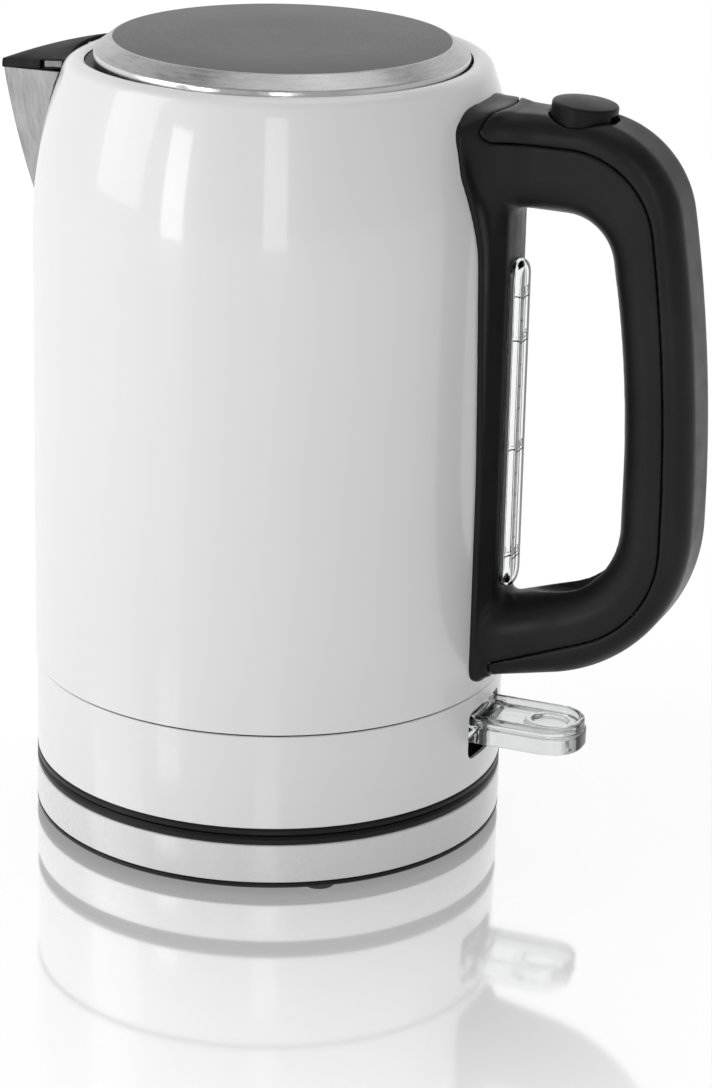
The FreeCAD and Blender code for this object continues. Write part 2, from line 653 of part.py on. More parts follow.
def round_long_edges(solid, path, half, radius):
    """Rounds the edges where a slab's side faces meet the face that follows the path."""
    chosen = []
    for reference in rounded_edges(path):
        middle = reference.valueAt((reference.FirstParameter + reference.LastParameter) / 2)
        for edge in solid.Edges:
            centre = edge.valueAt((edge.FirstParameter + edge.LastParameter) / 2)
            apart = math.hypot(centre.x - middle.x, centre.z - middle.z)
            if abs(abs(centre.y) - half) < 1e-3 and apart < 0.05:
                chosen.append(edge)
    return solid.makeFillet(radius, chosen)


def mount_solid():
    """The shield-shaped plate on the shell with its raised column."""
    half = dim("mount_half").value
    outline = [V(40, -half, 62), V(40, -half, 150), V(40, -18.6, 188), V(40, -22.6, 211),
               V(40, -20.8, 221), V(40, -12.5, 225.3), V(40, 0, 225.9)]
    bend = V(40, -half + 2.4, 56.4)
    low = V(40, -half + 8, 54.0)
    edges = [Part.Arc(low, bend, outline[0]).toShape(), Part.makeLine(outline[0], outline[1])]
    flare = Part.BSplineCurve()
    flare.interpolate(outline[1:])
    edges.append(flare.toShape())
    mirrored = [e.mirror(V(0, 0, 0), Y_AXIS) for e in edges]
    edges = edges + mirrored + [Part.makeLine(low, V(40, half - 8, 54.0))]
    shield = Part.Face(Part.Wire(Part.__sortEdges__(edges))).extrude(V(60, 0, 0))
    skin = JUG_SOLID.makeOffsetShape(1.2, 0.01)
    column_half, face = dim("column_half").value, dim("column_face").value
    plan = [V(40, -column_half - 2.6, 54), V(70.4, -column_half - 2.6, 54), V(72.1, -column_half, 54),
            V(face, -column_half + 2.4, 54), V(face, column_half - 2.4, 54), V(72.1, column_half, 54),
            V(70.4, column_half + 2.6, 54), V(40, column_half + 2.6, 54)]
    column = Part.Face(Part.makePolygon(plan + [plan[0]])).extrude(V(0, 0, 172))
    return shield.common(skin.fuse(column)).cut(JUG_SOLID)


def make_handle():
    half, wall = grip_half.value, grip_wall.value
    seam_gap = 0.05
    hollow_half = half - wall

    inner = slab_between(SEAM_PATH, INNER_PATH, half)
    inner = round_long_edges(inner, INNER_PATH, half, dim("grip_round").value)
    inner_core = slab_between(SEAM_PATH, inset_path(INNER_PATH, -wall - 0.5), hollow_half)
    body = mount_solid().fuse(inner).cut(inner_core)
    # The cover's bed and everything above the seam belong to the cover or to the space inside.
    above_seam = slab_between(inset_path(OUTER_PATH, -6), SEAM_PATH, half + 3)
    body = body.cut(above_seam)
    tunnel = Part.makeBox(30, 7, bolt_high.value - bolt_low.value + 1, V(55, -3.5, bolt_low.value - 0.5))
    posts = []
    for side in (-1, 1):
        post = Part.makeCylinder(2.2, 16.0, V(dim("button_x").value, side * SPRING_SIDE, 201.0))
        posts.append(post)
    stop_rib = Part.makeBox(1.5, 2 * hollow_half, 8.4, V(106.0, -hollow_half, 211.5))
    stop_rib = stop_rib.common(slab_between(SEAM_PATH, INNER_PATH, hollow_half).fuse(
        Part.makeBox(10, 2 * hollow_half - 0.4, 20, V(100, -hollow_half + 0.2, 205))))
    window_room = stadium(dim("window_half").value + 0.1, dim("window_low").value - 0.1,
                          dim("window_high").value + 0.1, 60, 90)
    body = body.fuse(posts).fuse(stop_rib).cut(tunnel).cut(window_room).removeSplitter()
    node(set_shape("handle_moulding", body), "handle_body")

    cover = slab_between(OUTER_PATH, inset_path(SEAM_PATH, -seam_gap), half)
    cover = round_long_edges(cover, OUTER_PATH, half, dim("grip_round").value)
    hollow = slab_between(inset_path(OUTER_PATH, wall), inset_path(SEAM_PATH, 3.0), hollow_half)
    button_well = lean_about_button(Part.makeCylinder(
        dim("button_radius").value + 0.3, 14, V(dim("button_x").value, 0, 217.0)))
    cover = cover.cut(hollow).cut(button_well).cut(JUG_SOLID)
    tunnel_end = Part.makeBox(6, 7, 4.4, V(72, -3.5, bolt_low.value - 1.4))
    cover = cover.cut(tunnel_end)
    node(set_shape("cover_moulding", cover), "handle_cover")

    clear = stadium(dim("window_half").value, dim("window_low").value, dim("window_high").value,
                    72.3, dim("window_face").value)
    front = [e for e in clear.Edges if e.BoundBox.XMin > dim("window_face").value - 0.01]
    clear = clear.makeFillet(1.6, front)
    water = stadium(dim("window_half").value - 1.8, dim("window_low").value + 1.8,
                    dim("window_high").value - 1.8, 70, dim("window_face").value - 2)
    node(set_shape("window_moulding", clear.cut(water)), "water_window")
    seal = stadium(dim("window_half").value - 0.2, dim("window_low").value + 0.2,
                   dim("window_high").value - 0.2, 66, 72.3)
    node(set_shape("window_seal", seal.cut(water).cut(JUG_SOLID)), "window_gasket")


def lean_about_button(shape):
    """Tilts a shape with the lid button, about the button's top centre."""
    shape.rotate(V(dim("button_x").value, 0, dim("button_top").value), Y_AXIS, dim("button_tilt").value)
    return shape


# ---- lid ----

def make_lid():
    edge, chamfer, top, flat = lid_edge, dim("lid_chamfer"), dim("lid_top"), dim("lid_flat")
    cap = revolved("cap_pressed", [
        (0, top), (flat, top), (lid_r, chamfer), (lid_r, edge), (lid_r - 0.8, edge),
        (lid_r - 0.8, chamfer - 0.4), (flat - 0.3, top - 0.8), (0, top - 0.8)])
    cap.setExpression("Placement.Base.x", dim("lid_offset").text)
    node(cap, "lid_cap")

    disc = revolved("lid_disc", [
        (0, edge - 2.0), (lid_r - 4.5, edge - 2.0), (lid_r - 4.5, edge + 0.4), (lid_r - 0.9, edge + 0.4),
        (lid_r - 0.9, chamfer - 0.5), (flat - 1.8, top - 2.0), (flat - 5, top - 2.0),
        (flat - 5, edge + 0.2), (0, edge + 0.2)])
    disc.setExpression("Placement.Base.x", dim("lid_offset").text)
    plug = dim("plug_radius")
    skirt = revolved("lid_skirt", [
        (plug - 2, dim("plug_bottom")), (plug, dim("plug_bottom")), (plug, edge - 2.0),
        (plug - 2, edge - 2.0)])
    flat_back = box((44.3, -TAIL_HALF, 215), (60, TAIL_HALF, edge + 0.2))
    hinge_boss = fused([rod(2.6, 2 * BOSS_HALF, (hinge_x, -BOSS_HALF, hinge_z), Y_AXIS),
                        box((42, -BOSS_HALF, edge - 2.0), (hinge_x, BOSS_HALF, hinge_z + 2.6))])
    catch = box((41.5, -5, bolt_low - 2.2), (43.7, 5, edge))
    pockets = [box((45, side * 12.2 - 4.3, 224), (60, side * 12.2 + 4.3, top - 1.2)) for side in (-1, 1)]
    bore = rod(dim("hinge_pin") + 0.07, 60, (hinge_x, -30, hinge_z), Y_AXIS)
    shaped = cut(fused([disc, skirt]), [flat_back] + pockets)
    node(cut(fused([shaped, hinge_boss, catch]), [bore]), "lid_body")

    lip = revolved("lip_seal", [
        (plug, 225.0), (plug + 1.2, 226.2), (plug + 1.2, 226.8), (plug, 227.4)])
    node(cut(lip, [box((40, -TAIL_HALF, 220), (60, TAIL_HALF, 230))]), "lid_seal")

    coils = []
    for side in (-1, 1):
        turns = Part.makeHelix(0.95, 3.2, 1.75)
        wire_section = Part.Wire(Part.makeCircle(0.4, V(1.75, 0, 0), Y_AXIS))
        coil = Part.Wire(turns).makePipeShell([wire_section], True, True)
        coil.rotate(V(0, 0, 0), X_AXIS, -90)
        coil.translate(V(hinge_x.value, 8.5 if side > 0 else -11.7, hinge_z.value))
        coils.append(coil)
    node(set_shape("spring_pair", Part.Compound(coils)), "lid_springs")


# ---- lid release ----

def helix_spring(mean_radius, wire_radius, length, turns):
    """A compression spring standing on the origin along Z."""
    pitch = (length - 2 * wire_radius) / turns
    spine = Part.Wire(Part.makeHelix(pitch, pitch * turns, mean_radius))
    section = Part.Wire(Part.makeCircle(wire_radius, V(mean_radius, 0, 0), Y_AXIS))
    coil = spine.makePipeShell([section], True, True)
    coil.translate(V(0, 0, wire_radius))
    return coil


def make_release():
    x, top, radius = dim("button_x").value, dim("button_top").value, dim("button_radius").value
    cap = Part.makeCylinder(radius, 6.6, V(x, 0, top - 6.6))
    rim = [e for e in cap.Edges if e.BoundBox.ZMin > top - 0.01]
    cap = cap.makeFillet(1.1, rim)
    cap = cap.cut(Part.makeCylinder(radius - 1.4, 4.6, V(x, 0, top - 6.6)))
    cap = cap.cut(Part.makeBox(2 * radius + 2, 7.6, 4.1, V(x - radius - 1, -3.8, top - 6.7)))
    cap = lean_about_button(cap)
    # The stem ends in a slanted face that draws the bolt outwards.
    stem_low, stem_high = bolt_low.value - 0.8, top - 1.9
    wedge_top = bolt_high.value + 0.2
    left = x - 3.4
    right = left + 1.2 + RAMP * (wedge_top - stem_low)
    outline = [V(left, -1.5, stem_high), V(left, -1.5, stem_low), V(left + 1.2, -1.5, stem_low),
               V(right, -1.5, wedge_top), V(right, -1.5, stem_high)]
    stem = Part.Face(Part.makePolygon(outline + [outline[0]])).extrude(V(0, 3, 0))
    node(set_shape("button_moulding", cap.fuse(stem)), "lid_button")

    springs = []
    for side in (-1, 1):
        coil = helix_spring(1.6, 0.35, top - 2.75 - SPRING_FOOT, 5)
        coil.translate(V(x, side * SPRING_SIDE, SPRING_FOOT))
        springs.append(coil)
    node(set_shape("button_spring_pair", Part.Compound(springs)), "button_springs")

    # The bolt: a flat bar with a window whose far edge is slanted like the stem's face.
    low, high = bolt_low.value, bolt_high.value
    bar = Part.makeBox(99.6 - BOLT_NOSE, 6, high - low, V(BOLT_NOSE, -3, low))
    gap = 0.35
    edge_low = left + 1.2 + RAMP * (low - stem_low) + gap
    edge_high = left + 1.2 + RAMP * (high - stem_low) + gap
    window = [V(left - 4.0, -1.8, low - 1), V(edge_low - RAMP, -1.8, low - 1),
              V(edge_high + RAMP, -1.8, high + 1), V(left - 4.0, -1.8, high + 1)]
    bar = bar.cut(Part.Face(Part.makePolygon(window + [window[0]])).extrude(V(0, 3.6, 0)))
    nose = [V(BOLT_NOSE - 1, -4, low - 1), V(BOLT_NOSE + 2.4, -4, low - 1), V(BOLT_NOSE - 1, -4, high - 0.6)]
    bar = bar.cut(Part.Face(Part.makePolygon(nose + [nose[0]])).extrude(V(0, 8, 0)))
    node(set_shape("bolt_bar", bar), "latch_bolt")

    coil = helix_spring(1.1, 0.25, 6.2, 6)
    coil.rotate(V(0, 0, 0), Y_AXIS, 90)
    coil.translate(V(99.7, 0, (low + high) / 2 - 0.1))
    node(set_shape("latch_coil", coil), "latch_spring")


# ---- switch lever ----

def make_lever():
    tip, half = dim("lever_tip").value, dim("lever_half").value
    pivot_x, pivot_z = dim("lever_pivot_x").value, dim("lever_pivot_z").value
    root, top = 72.0, PADDLE_LOW + PADDLE_THICK
    plan = Part.makeBox(tip - 8 - root, 2 * half, PADDLE_THICK, V(root, -half, PADDLE_LOW))
    end = Part.makeCylinder(half, PADDLE_THICK, V(tip - half, 0, PADDLE_LOW))
    paddle = plan.fuse(end.common(Part.makeBox(40, 2 * half, 20, V(tip - half, -half, 30)))).removeSplitter()
    upright = [e for e in paddle.Edges if e.BoundBox.ZLength < 0.01 and e.BoundBox.XMax > 75]
    paddle = paddle.makeFillet(0.9, upright)
    # A thumb hollow in the top, with a lower wall towards the tip.
    dish_radius, dish_depth = 60, 1.6
    dish = Part.makeSphere(dish_radius)
    dish.translate(V(87, 0, top + dish_radius - dish_depth))
    paddle = paddle.cut(dish)
    neck = Part.makeBox(16, 11, 6, V(58, -5.5, 35.5))
    hub = Part.makeCylinder(3.2, 11, V(pivot_x, -5.5, pivot_z), Y_AXIS)
    arm = Part.makeBox(9, 8, 4, V(51.5, -4, 36.5))
    web = Part.makeBox(3.5, 2 * half - 1.0, 6, V(69.5, -half + 0.5, 35.5))
    bore = Part.makeCylinder(1.28, 40, V(pivot_x, -20, pivot_z), Y_AXIS)
    lever = paddle.fuse([neck, hub, arm, web]).cut(bore)
    node(set_shape("lever_moulding", lever), "switch_lever")


def check_and_write():
    doc.recompute()
    for obj in doc.Objects:
        state = set(obj.State)
        if state & {"Invalid", "Error"}:
            raise RuntimeError(f"{obj.Label}: {obj.State}")
    for obj in NODES:
        shape = obj.Shape
        if shape.isNull() or not shape.isValid() or not shape.Solids:
            raise RuntimeError(f"{obj.Label} has no valid solid")
        print(f"{obj.Label:20s} solids {len(shape.Solids):2d}  volume {shape.Volume:9.1f}")
    os.makedirs("parts", exist_ok=True)
    for obj in NODES:
        obj.Shape.exportStep(f"parts/{obj.Label}.step")


make_base()
make_connector()
make_shell()
make_lower_jug()
make_spout()
make_filter()
make_collar()
make_handle()
make_lid()
make_release()
make_lever()
check_and_write()
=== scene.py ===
import math

import bmesh
import bpy
import numpy as np
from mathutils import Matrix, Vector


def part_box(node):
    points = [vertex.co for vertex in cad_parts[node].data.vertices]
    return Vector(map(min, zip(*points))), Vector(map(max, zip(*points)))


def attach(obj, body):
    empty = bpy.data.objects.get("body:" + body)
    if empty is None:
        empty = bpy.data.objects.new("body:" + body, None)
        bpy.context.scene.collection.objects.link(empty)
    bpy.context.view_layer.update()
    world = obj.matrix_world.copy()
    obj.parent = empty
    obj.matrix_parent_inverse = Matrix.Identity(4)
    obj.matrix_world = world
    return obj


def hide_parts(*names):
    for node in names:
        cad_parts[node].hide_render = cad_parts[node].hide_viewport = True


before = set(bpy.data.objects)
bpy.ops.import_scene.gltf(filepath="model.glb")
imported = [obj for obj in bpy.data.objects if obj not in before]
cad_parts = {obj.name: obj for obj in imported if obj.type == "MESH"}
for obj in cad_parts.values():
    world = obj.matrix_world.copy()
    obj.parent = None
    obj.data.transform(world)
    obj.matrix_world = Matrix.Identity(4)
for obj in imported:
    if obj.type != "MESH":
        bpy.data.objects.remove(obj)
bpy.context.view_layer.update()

import openvdb
from mathutils import Matrix, Vector

# Lengths below are in millimetres, and become metres when a mesh is made.
MM = 0.001


def span(node):
    """A CAD node's lowest and highest corners, in millimetres."""
    low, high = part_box(node)
    return low / MM, high / MM


SHELL_LOW, SHELL_HIGH = span("body_shell")
BAND_LOW, BAND_HIGH = span("lower_band")
RING_LOW, RING_HIGH = span("base_ring")
COVER_LOW, COVER_HIGH = span("handle_cover")
BODY_LOW, BODY_HIGH = span("handle_body")
WINDOW_LOW, WINDOW_HIGH = span("water_window")
BUTTON_LOW, BUTTON_HIGH = span("lid_button")
LID_LOW, LID_HIGH = span("lid_cap")
LEVER_LOW, LEVER_HIGH = span("switch_lever")
SPOUT_LOW = span("spout")[0]
ROOF_LOW = span("spout_cover")[0]

JUG_R = SHELL_HIGH.x
SHOULDER_R = 148.0
SHOULDER_START = SHELL_HIGH.z - 53.7
RIM_ROUND = 4.0


# ---- mesh helpers ----

def finish_mesh(name, mesh, finishes, sharp_angle=35):
    """Turns a mesh in millimetres into a smooth-shaded piece in metres."""
    mesh.transform(Matrix.Diagonal((MM, MM, MM, 1)))
    mesh.shade_smooth()
    mesh.set_sharp_from_angle(angle=math.radians(sharp_angle))
    piece = bpy.data.objects.new(name, mesh)
    for finish in finishes:
        mesh.materials.append(finish)
    bpy.context.scene.collection.objects.link(piece)
    return piece


def outward(mesh):
    """Points every face of a closed mesh outwards."""
    shape = bmesh.new()
    shape.from_mesh(mesh)
    bmesh.ops.remove_doubles(shape, verts=shape.verts, dist=1e-4)
    bmesh.ops.recalc_face_normals(shape, faces=shape.faces)
    shape.to_mesh(mesh)
    shape.free()


def rounded(corners, closed=False, chord=2.0):
    """An outline's corners, given as (u, v, radius), with each corner turned into an arc."""
    points = []
    count = len(corners)
    for index, (u, v, radius) in enumerate(corners):
        if radius == 0 or (not closed and index in (0, count - 1)):
            points.append((u, v))
            continue
        here = Vector((u, v))
        before = (Vector(corners[index - 1][:2]) - here).normalized()
        after = (Vector(corners[(index + 1) % count][:2]) - here).normalized()
        turn = math.pi - before.angle(after)
        reach = radius * math.tan(turn / 2)
        centre = here + (before + after).normalized() * (radius / math.cos(turn / 2))
        start, end = here + before * reach - centre, here + after * reach - centre
        steps = max(3, math.ceil(turn / 0.14), math.ceil(radius * turn / chord))
        for step in range(steps + 1):
            angle = turn * step / steps
            spoke = (start * math.sin(turn - angle) + end * math.sin(angle)) / math.sin(turn)
            points.append(tuple(centre + spoke))
    return points


def rounded_box(half, low, high, radius):
    """A (y, z) rectangle about the middle plane, with rounded corners."""
    return rounded([(-half, low, radius), (half, low, radius),
                    (half, high, radius), (-half, high, radius)], closed=True)


def lathe(name, runs, axis=(0.0, 0.0), steps=256):
    """Turns a closed profile about a vertical axis. Each run is (finish, [(radius, height), ...])."""
    finishes, rings, marks = [], [], []
    for finish, points in runs:
        finishes.append(finish)
        for point in points:
            rings.append(point)
            marks.append(len(finishes) - 1)
    turns = np.linspace(0, 2 * math.pi, steps, endpoint=False)
    spokes = np.stack([np.cos(turns), np.sin(turns), np.zeros(steps)], axis=1)
    verts = []
    for radius, height in rings:
        verts.extend((spokes * radius + (axis[0], axis[1], height)).tolist())
    faces, indices = [], []
    for ring in range(len(rings)):
        following = (ring + 1) % len(rings)
        if rings[ring][0] == 0 and rings[following][0] == 0:
            continue
        for step in range(steps):
            other = (step + 1) % steps
            faces.append((ring * steps + step, ring * steps + other,
                          following * steps + other, following * steps + step))
            indices.append(marks[following] if following else marks[ring])
    mesh = bpy.data.meshes.new(name)
    mesh.from_pydata(verts, [], faces)
    mesh.polygons.foreach_set("material_index", indices)
    outward(mesh)
    return finish_mesh(name, mesh, finishes)


def arc(centre, radius, start, stop, steps=8):
    """Points of an arc, with its angles in degrees."""
    turns = [math.radians(start + (stop - start) * step / steps) for step in range(steps + 1)]
    return [(centre[0] + radius * math.cos(turn), centre[1] + radius * math.sin(turn)) for turn in turns]


def prism(name, outline, start, stop):
    """A closed block of a (y, z) outline, running along X, in metres."""
    shape = bmesh.new()
    for x in (start, stop):
        ring = [shape.verts.new((x * MM, y * MM, z * MM)) for y, z in outline]
        shape.faces.new(ring)
    shape.verts.ensure_lookup_table()
    count = len(outline)
    for index in range(count):
        other = (index + 1) % count
        shape.faces.new([shape.verts[i] for i in (index, other, count + other, count + index)])
    bmesh.ops.recalc_face_normals(shape, faces=shape.faces)
    mesh = bpy.data.meshes.new(name)
    shape.to_mesh(mesh)
    shape.free()
    block = bpy.data.objects.new(name, mesh)
    bpy.context.scene.collection.objects.link(block)
    return block


def apply_modifiers(piece):
    """Replaces a piece's mesh with what its modifiers make of it."""
    graph = bpy.context.evaluated_depsgraph_get()
    made = bpy.data.meshes.new_from_object(piece.evaluated_get(graph))
    piece.modifiers.clear()
    piece.data = made


def cut_away(piece, cutter):
    """Cuts one closed mesh out of another."""
    step = piece.modifiers.new("cut", "BOOLEAN")
    step.operation = "DIFFERENCE"
    step.object = cutter
    step.solver = "EXACT"
    apply_modifiers(piece)
    bpy.data.objects.remove(cutter)
    piece.data.shade_smooth()
    piece.data.set_sharp_from_angle(angle=math.radians(35))


def grid_mesh(name, rows):
    """A sheet through rows of points."""
    verts = [tuple(point) for row in rows for point in row]
    wide = len(rows[0])
    faces = []
    for high in range(len(rows) - 1):
        for step in range(wide - 1):
            first = high * wide + step
            faces.append((first, first + 1, first + wide + 1, first + wide))
    mesh = bpy.data.meshes.new(name)
    mesh.from_pydata(verts, [], faces)
    return mesh


def thicken(piece, thickness, offset=-1.0, even=True):
    """Gives a sheet its thickness, in millimetres."""
    step = piece.modifiers.new("thickness", "SOLIDIFY")
    step.thickness = thickness * MM
    step.offset = offset
    step.use_even_offset = even
    apply_modifiers(piece)
    piece.data.shade_smooth()
    piece.data.set_sharp_from_angle(angle=math.radians(40))


# ---- solids as fields of signed distance ----

class Block:
    """A block of space in millimetres, sampled on an even grid."""

    def __init__(self, low, high, pitch):
        self.low, self.pitch = low, pitch
        runs = [np.arange(a, b + pitch, pitch, dtype=np.float32) for a, b in zip(low, high)]
        self.x = runs[0][:, None, None]
        self.y = runs[1][None, :, None]
        self.z = runs[2][None, None, :]

    def mesh(self, name, field):
        """The surface where the field is zero, as an even mesh of quads."""
        grid = openvdb.FloatGrid(background=3 * self.pitch)
        grid.copyFromArray(np.clip(field, -3 * self.pitch, 3 * self.pitch).astype(np.float32))
        points, quads = grid.convertToQuads(isovalue=0.0)
        mesh = bpy.data.meshes.new(name)
        mesh.from_pydata((points * self.pitch + np.array(self.low)).tolist(), [], quads.tolist())
        outward(mesh)
        return mesh


def meet(a, b, radius):
    """Where both solids are, with the edge between them rounded."""
    beyond = np.hypot(np.maximum(a + radius, 0), np.maximum(b + radius, 0))
    return np.minimum(-radius, np.maximum(a, b)) + beyond


def blend_union(a, b, reach):
    """Both solids together, with a soft hollow where they meet."""
    return np.minimum(a, b) - np.maximum(reach - np.abs(a - b), 0) ** 2 / (4 * reach)


def outline_field(outline, u, v):
    """Signed distance in a plane to a closed outline, negative inside it."""
    shape = np.broadcast(u, v).shape
    nearest = np.full(shape, np.inf, dtype=np.float32)
    inside = np.zeros(shape, dtype=bool)
    for (u0, v0), (u1, v1) in zip(outline, outline[1:] + outline[:1]):
        du, dv = u1 - u0, v1 - v0
        if du == 0 and dv == 0:
            continue
        along = np.clip(((u - u0) * du + (v - v0) * dv) / (du * du + dv * dv), 0, 1)
        nearest = np.minimum(nearest, (u - u0 - along * du) ** 2 + (v - v0 - along * dv) ** 2)
        if dv != 0:
            inside ^= ((v0 <= v) != (v1 <= v)) & (u < u0 + (v - v0) * du / dv)
    return np.where(inside, -np.sqrt(nearest), np.sqrt(nearest))


def shell_field(block):
    """Distance outwards from the jug's outside."""
    radius = np.hypot(block.x, block.y)
    over = np.hypot(radius - (JUG_R - SHOULDER_R), block.z - SHOULDER_START) - SHOULDER_R
    return np.where(block.z < SHOULDER_START, radius - JUG_R, over)


def eased(share):
    """A share from 0 to 1 that starts and stops softly."""
    share = np.clip(share, 0, 1)
    return share * share * (3 - 2 * share)


def half_plane(u, v, point, direction):
    """Distance beyond a line in a plane, on the side that direction points to."""
    length = math.hypot(*direction)
    return ((u - point[0]) * direction[0] + (v - point[1]) * direction[1]) / length


# ---- finishes ----

def set_range(node, start, stop, low, high):
    """Sets a Map Range node to turn start and stop into low and high."""
    for socket, number in (("From Min", start), ("From Max", stop), ("To Min", low), ("To Max", high)):
        node.inputs[socket].default_value = number


class Finish:
    """A procedural material around one Principled shader."""

    def __init__(self, name, **settings):
        self.material = bpy.data.materials.new(name)
        self.material.use_nodes = True
        self.tree = self.material.node_tree
        self.shader = self.tree.nodes["Principled BSDF"]
        for socket, value in settings.items():
            self.shader.inputs[socket.replace("_", " ")].default_value = value

    def add(self, kind, **settings):
        node = self.tree.nodes.new(kind)
        for socket, value in settings.items():
            node.inputs[socket.replace("_", " ")].default_value = value
        return node

    def link(self, source, target):
        self.tree.links.new(source, target)

    def place(self):
        """Where a point is in the object's own frame, in metres."""
        return self.add("ShaderNodeTexCoord").outputs["Object"]

    def maths(self, operation, first, second=None):
        node = self.add("ShaderNodeMath")
        node.operation = operation
        for socket, value in zip(node.inputs, (first, second)):
            if isinstance(value, (int, float)):
                socket.default_value = value
            elif value is not None:
                self.link(value, socket)
        return node.outputs[0]

    def stretched(self, scale):
        """The point's place, stretched so that noise comes out as streaks."""
        mapping = self.add("ShaderNodeMapping", Scale=scale)
        self.link(self.place(), mapping.inputs["Vector"])
        return mapping.outputs["Vector"]

    def rings(self, centre, across, around):
        """Coordinates whose noise comes out as streaks around a vertical axis."""
        parts = self.add("ShaderNodeSeparateXYZ")
        self.link(self.place(), parts.inputs[0])
        x = self.maths("SUBTRACT", parts.outputs["X"], centre[0])
        y = self.maths("SUBTRACT", parts.outputs["Y"], centre[1])
        radius = self.maths("SQRT", self.maths("ADD", self.maths("MULTIPLY", x, x),
                                               self.maths("MULTIPLY", y, y)))
        turned = self.add("ShaderNodeCombineXYZ")
        self.link(self.maths("MULTIPLY", self.maths("ADD", radius, parts.outputs["Z"]), across),
                  turned.inputs["X"])
        length = self.maths("MAXIMUM", radius, 0.001)
        self.link(self.maths("MULTIPLY", self.maths("DIVIDE", x, length), around), turned.inputs["Y"])
        self.link(self.maths("MULTIPLY", self.maths("DIVIDE", y, length), around), turned.inputs["Z"])
        return turned.outputs[0]

    def noise(self, vector=None, scale=1.0, detail=3.0, roughness=0.5):
        node = self.add("ShaderNodeTexNoise", Scale=scale, Detail=detail, Roughness=roughness)
        self.link(vector or self.place(), node.inputs["Vector"])
        return node.outputs["Fac"]

    def range(self, value, low, high, start=0.3, stop=0.7):
        node = self.add("ShaderNodeMapRange")
        set_range(node, start, stop, low, high)
        self.link(value, node.inputs["Value"])
        return node.outputs["Result"]

    def tint(self, value, dark, light, start=0.3, stop=0.7):
        """Base colour that goes from dark to light with the value."""
        ramp = self.add("ShaderNodeValToRGB")
        for element, place, colour in zip(ramp.color_ramp.elements, (start, stop), (dark, light)):
            element.position = place
            element.color = (*colour, 1) if isinstance(colour, tuple) else (colour, colour, colour, 1)
        self.link(value, ramp.inputs["Fac"])
        self.link(ramp.outputs["Color"], self.shader.inputs["Base Color"])

    def gloss(self, value, low, high):
        """Roughness that follows the value."""
        self.link(self.range(value, low, high), self.shader.inputs["Roughness"])

    def relief(self, *layers):
        """Fine relief from (value, height in metres) layers."""
        last = None
        for value, height in layers:
            bump = self.add("ShaderNodeBump", Strength=1.0, Distance=height)
            self.link(value, bump.inputs["Height"])
            if last:
                self.link(last, bump.inputs["Normal"])
            last = bump.outputs["Normal"]
        self.link(last, self.shader.inputs["Normal"])


def lacquer(name, colour):
    """Sprayed white lacquer under a clear coat, with faint orange peel."""
    made = Finish(name, Coat_Weight=0.7, Coat_Roughness=0.06, IOR=1.5)
    cloud = made.noise(scale=14, detail=4)
    peel = made.noise(scale=700, detail=2)
    made.tint(cloud, colour * 0.985, colour)
    made.gloss(made.noise(scale=90, detail=5), 0.30, 0.38)
    made.relief((peel, 0.000006), (made.noise(scale=2600, detail=1), 0.000002))
    return made.material


def moulded(name, dark, light, rough, grain=2200, height=0.00004, coat=0.0, shine=0.5):
    """Moulded plastic with a fine spark-eroded grain and slight unevenness in its shine."""
    made = Finish(name, Coat_Weight=coat, Coat_Roughness=0.15, IOR=1.48, Specular_IOR_Level=shine)
    cloud = made.noise(scale=35, detail=5)
    pits = made.noise(scale=grain, detail=2, roughness=0.6)
    made.tint(cloud, dark, light)
    made.gloss(made.noise(scale=120, detail=6), rough - 0.05, rough + 0.05)
    made.relief((pits, height), (made.noise(scale=grain * 2.7, detail=1), height * 0.4))
    return made.material


def brushed(name, dark, light, rough, centre=None, stretch=(40, 40, 2600), lines=0.000012):
    """Brushed metal, streaked around a centre or along an axis."""
    made = Finish(name, Metallic=1.0)
    vector = made.rings(centre, 5200, 9) if centre else made.stretched(stretch)
    streaks = made.noise(vector, detail=4, roughness=0.7)
    cloud = made.noise(scale=60, detail=4)
    both = made.maths("ADD", made.maths("MULTIPLY", streaks, 0.65), made.maths("MULTIPLY", cloud, 0.35))
    made.tint(both, dark, light, 0.36, 0.64)
    made.gloss(streaks, rough - 0.06, rough + 0.08)
    made.relief((streaks, lines))
    return made.material


def bare_metal(name, colour, rough, scale=900):
    """Plain drawn metal with light handling marks."""
    made = Finish(name, Metallic=1.0)
    cloud = made.noise(scale=scale / 8, detail=5)
    made.tint(cloud, tuple(c * 0.82 for c in colour), colour)
    made.gloss(made.noise(scale=scale, detail=4), rough - 0.05, rough + 0.1)
    made.relief((made.noise(scale=scale, detail=3), 0.00001))
    return made.material


def clear_plastic(name, colour, rough=0.03):
    """Clear moulded plastic with faint flow lines."""
    made = Finish(name, Transmission_Weight=1.0, IOR=1.49)
    flow = made.noise(made.stretched((120, 120, 420)), detail=3)
    made.tint(flow, tuple(c * 0.96 for c in colour), colour)
    made.gloss(flow, rough, rough + 0.05)
    made.relief((flow, 0.00003))
    return made.material


def rubbery(name, dark, light, rough):
    """Soft rubber or silicone with a dusty, uneven surface."""
    made = Finish(name, Sheen_Weight=0.15, Sheen_Roughness=0.6)
    cloud = made.noise(scale=180, detail=6)
    made.tint(cloud, dark, light)
    made.gloss(cloud, rough, rough + 0.12)
    made.relief((made.noise(scale=1800, detail=3), 0.00003))
    return made.material


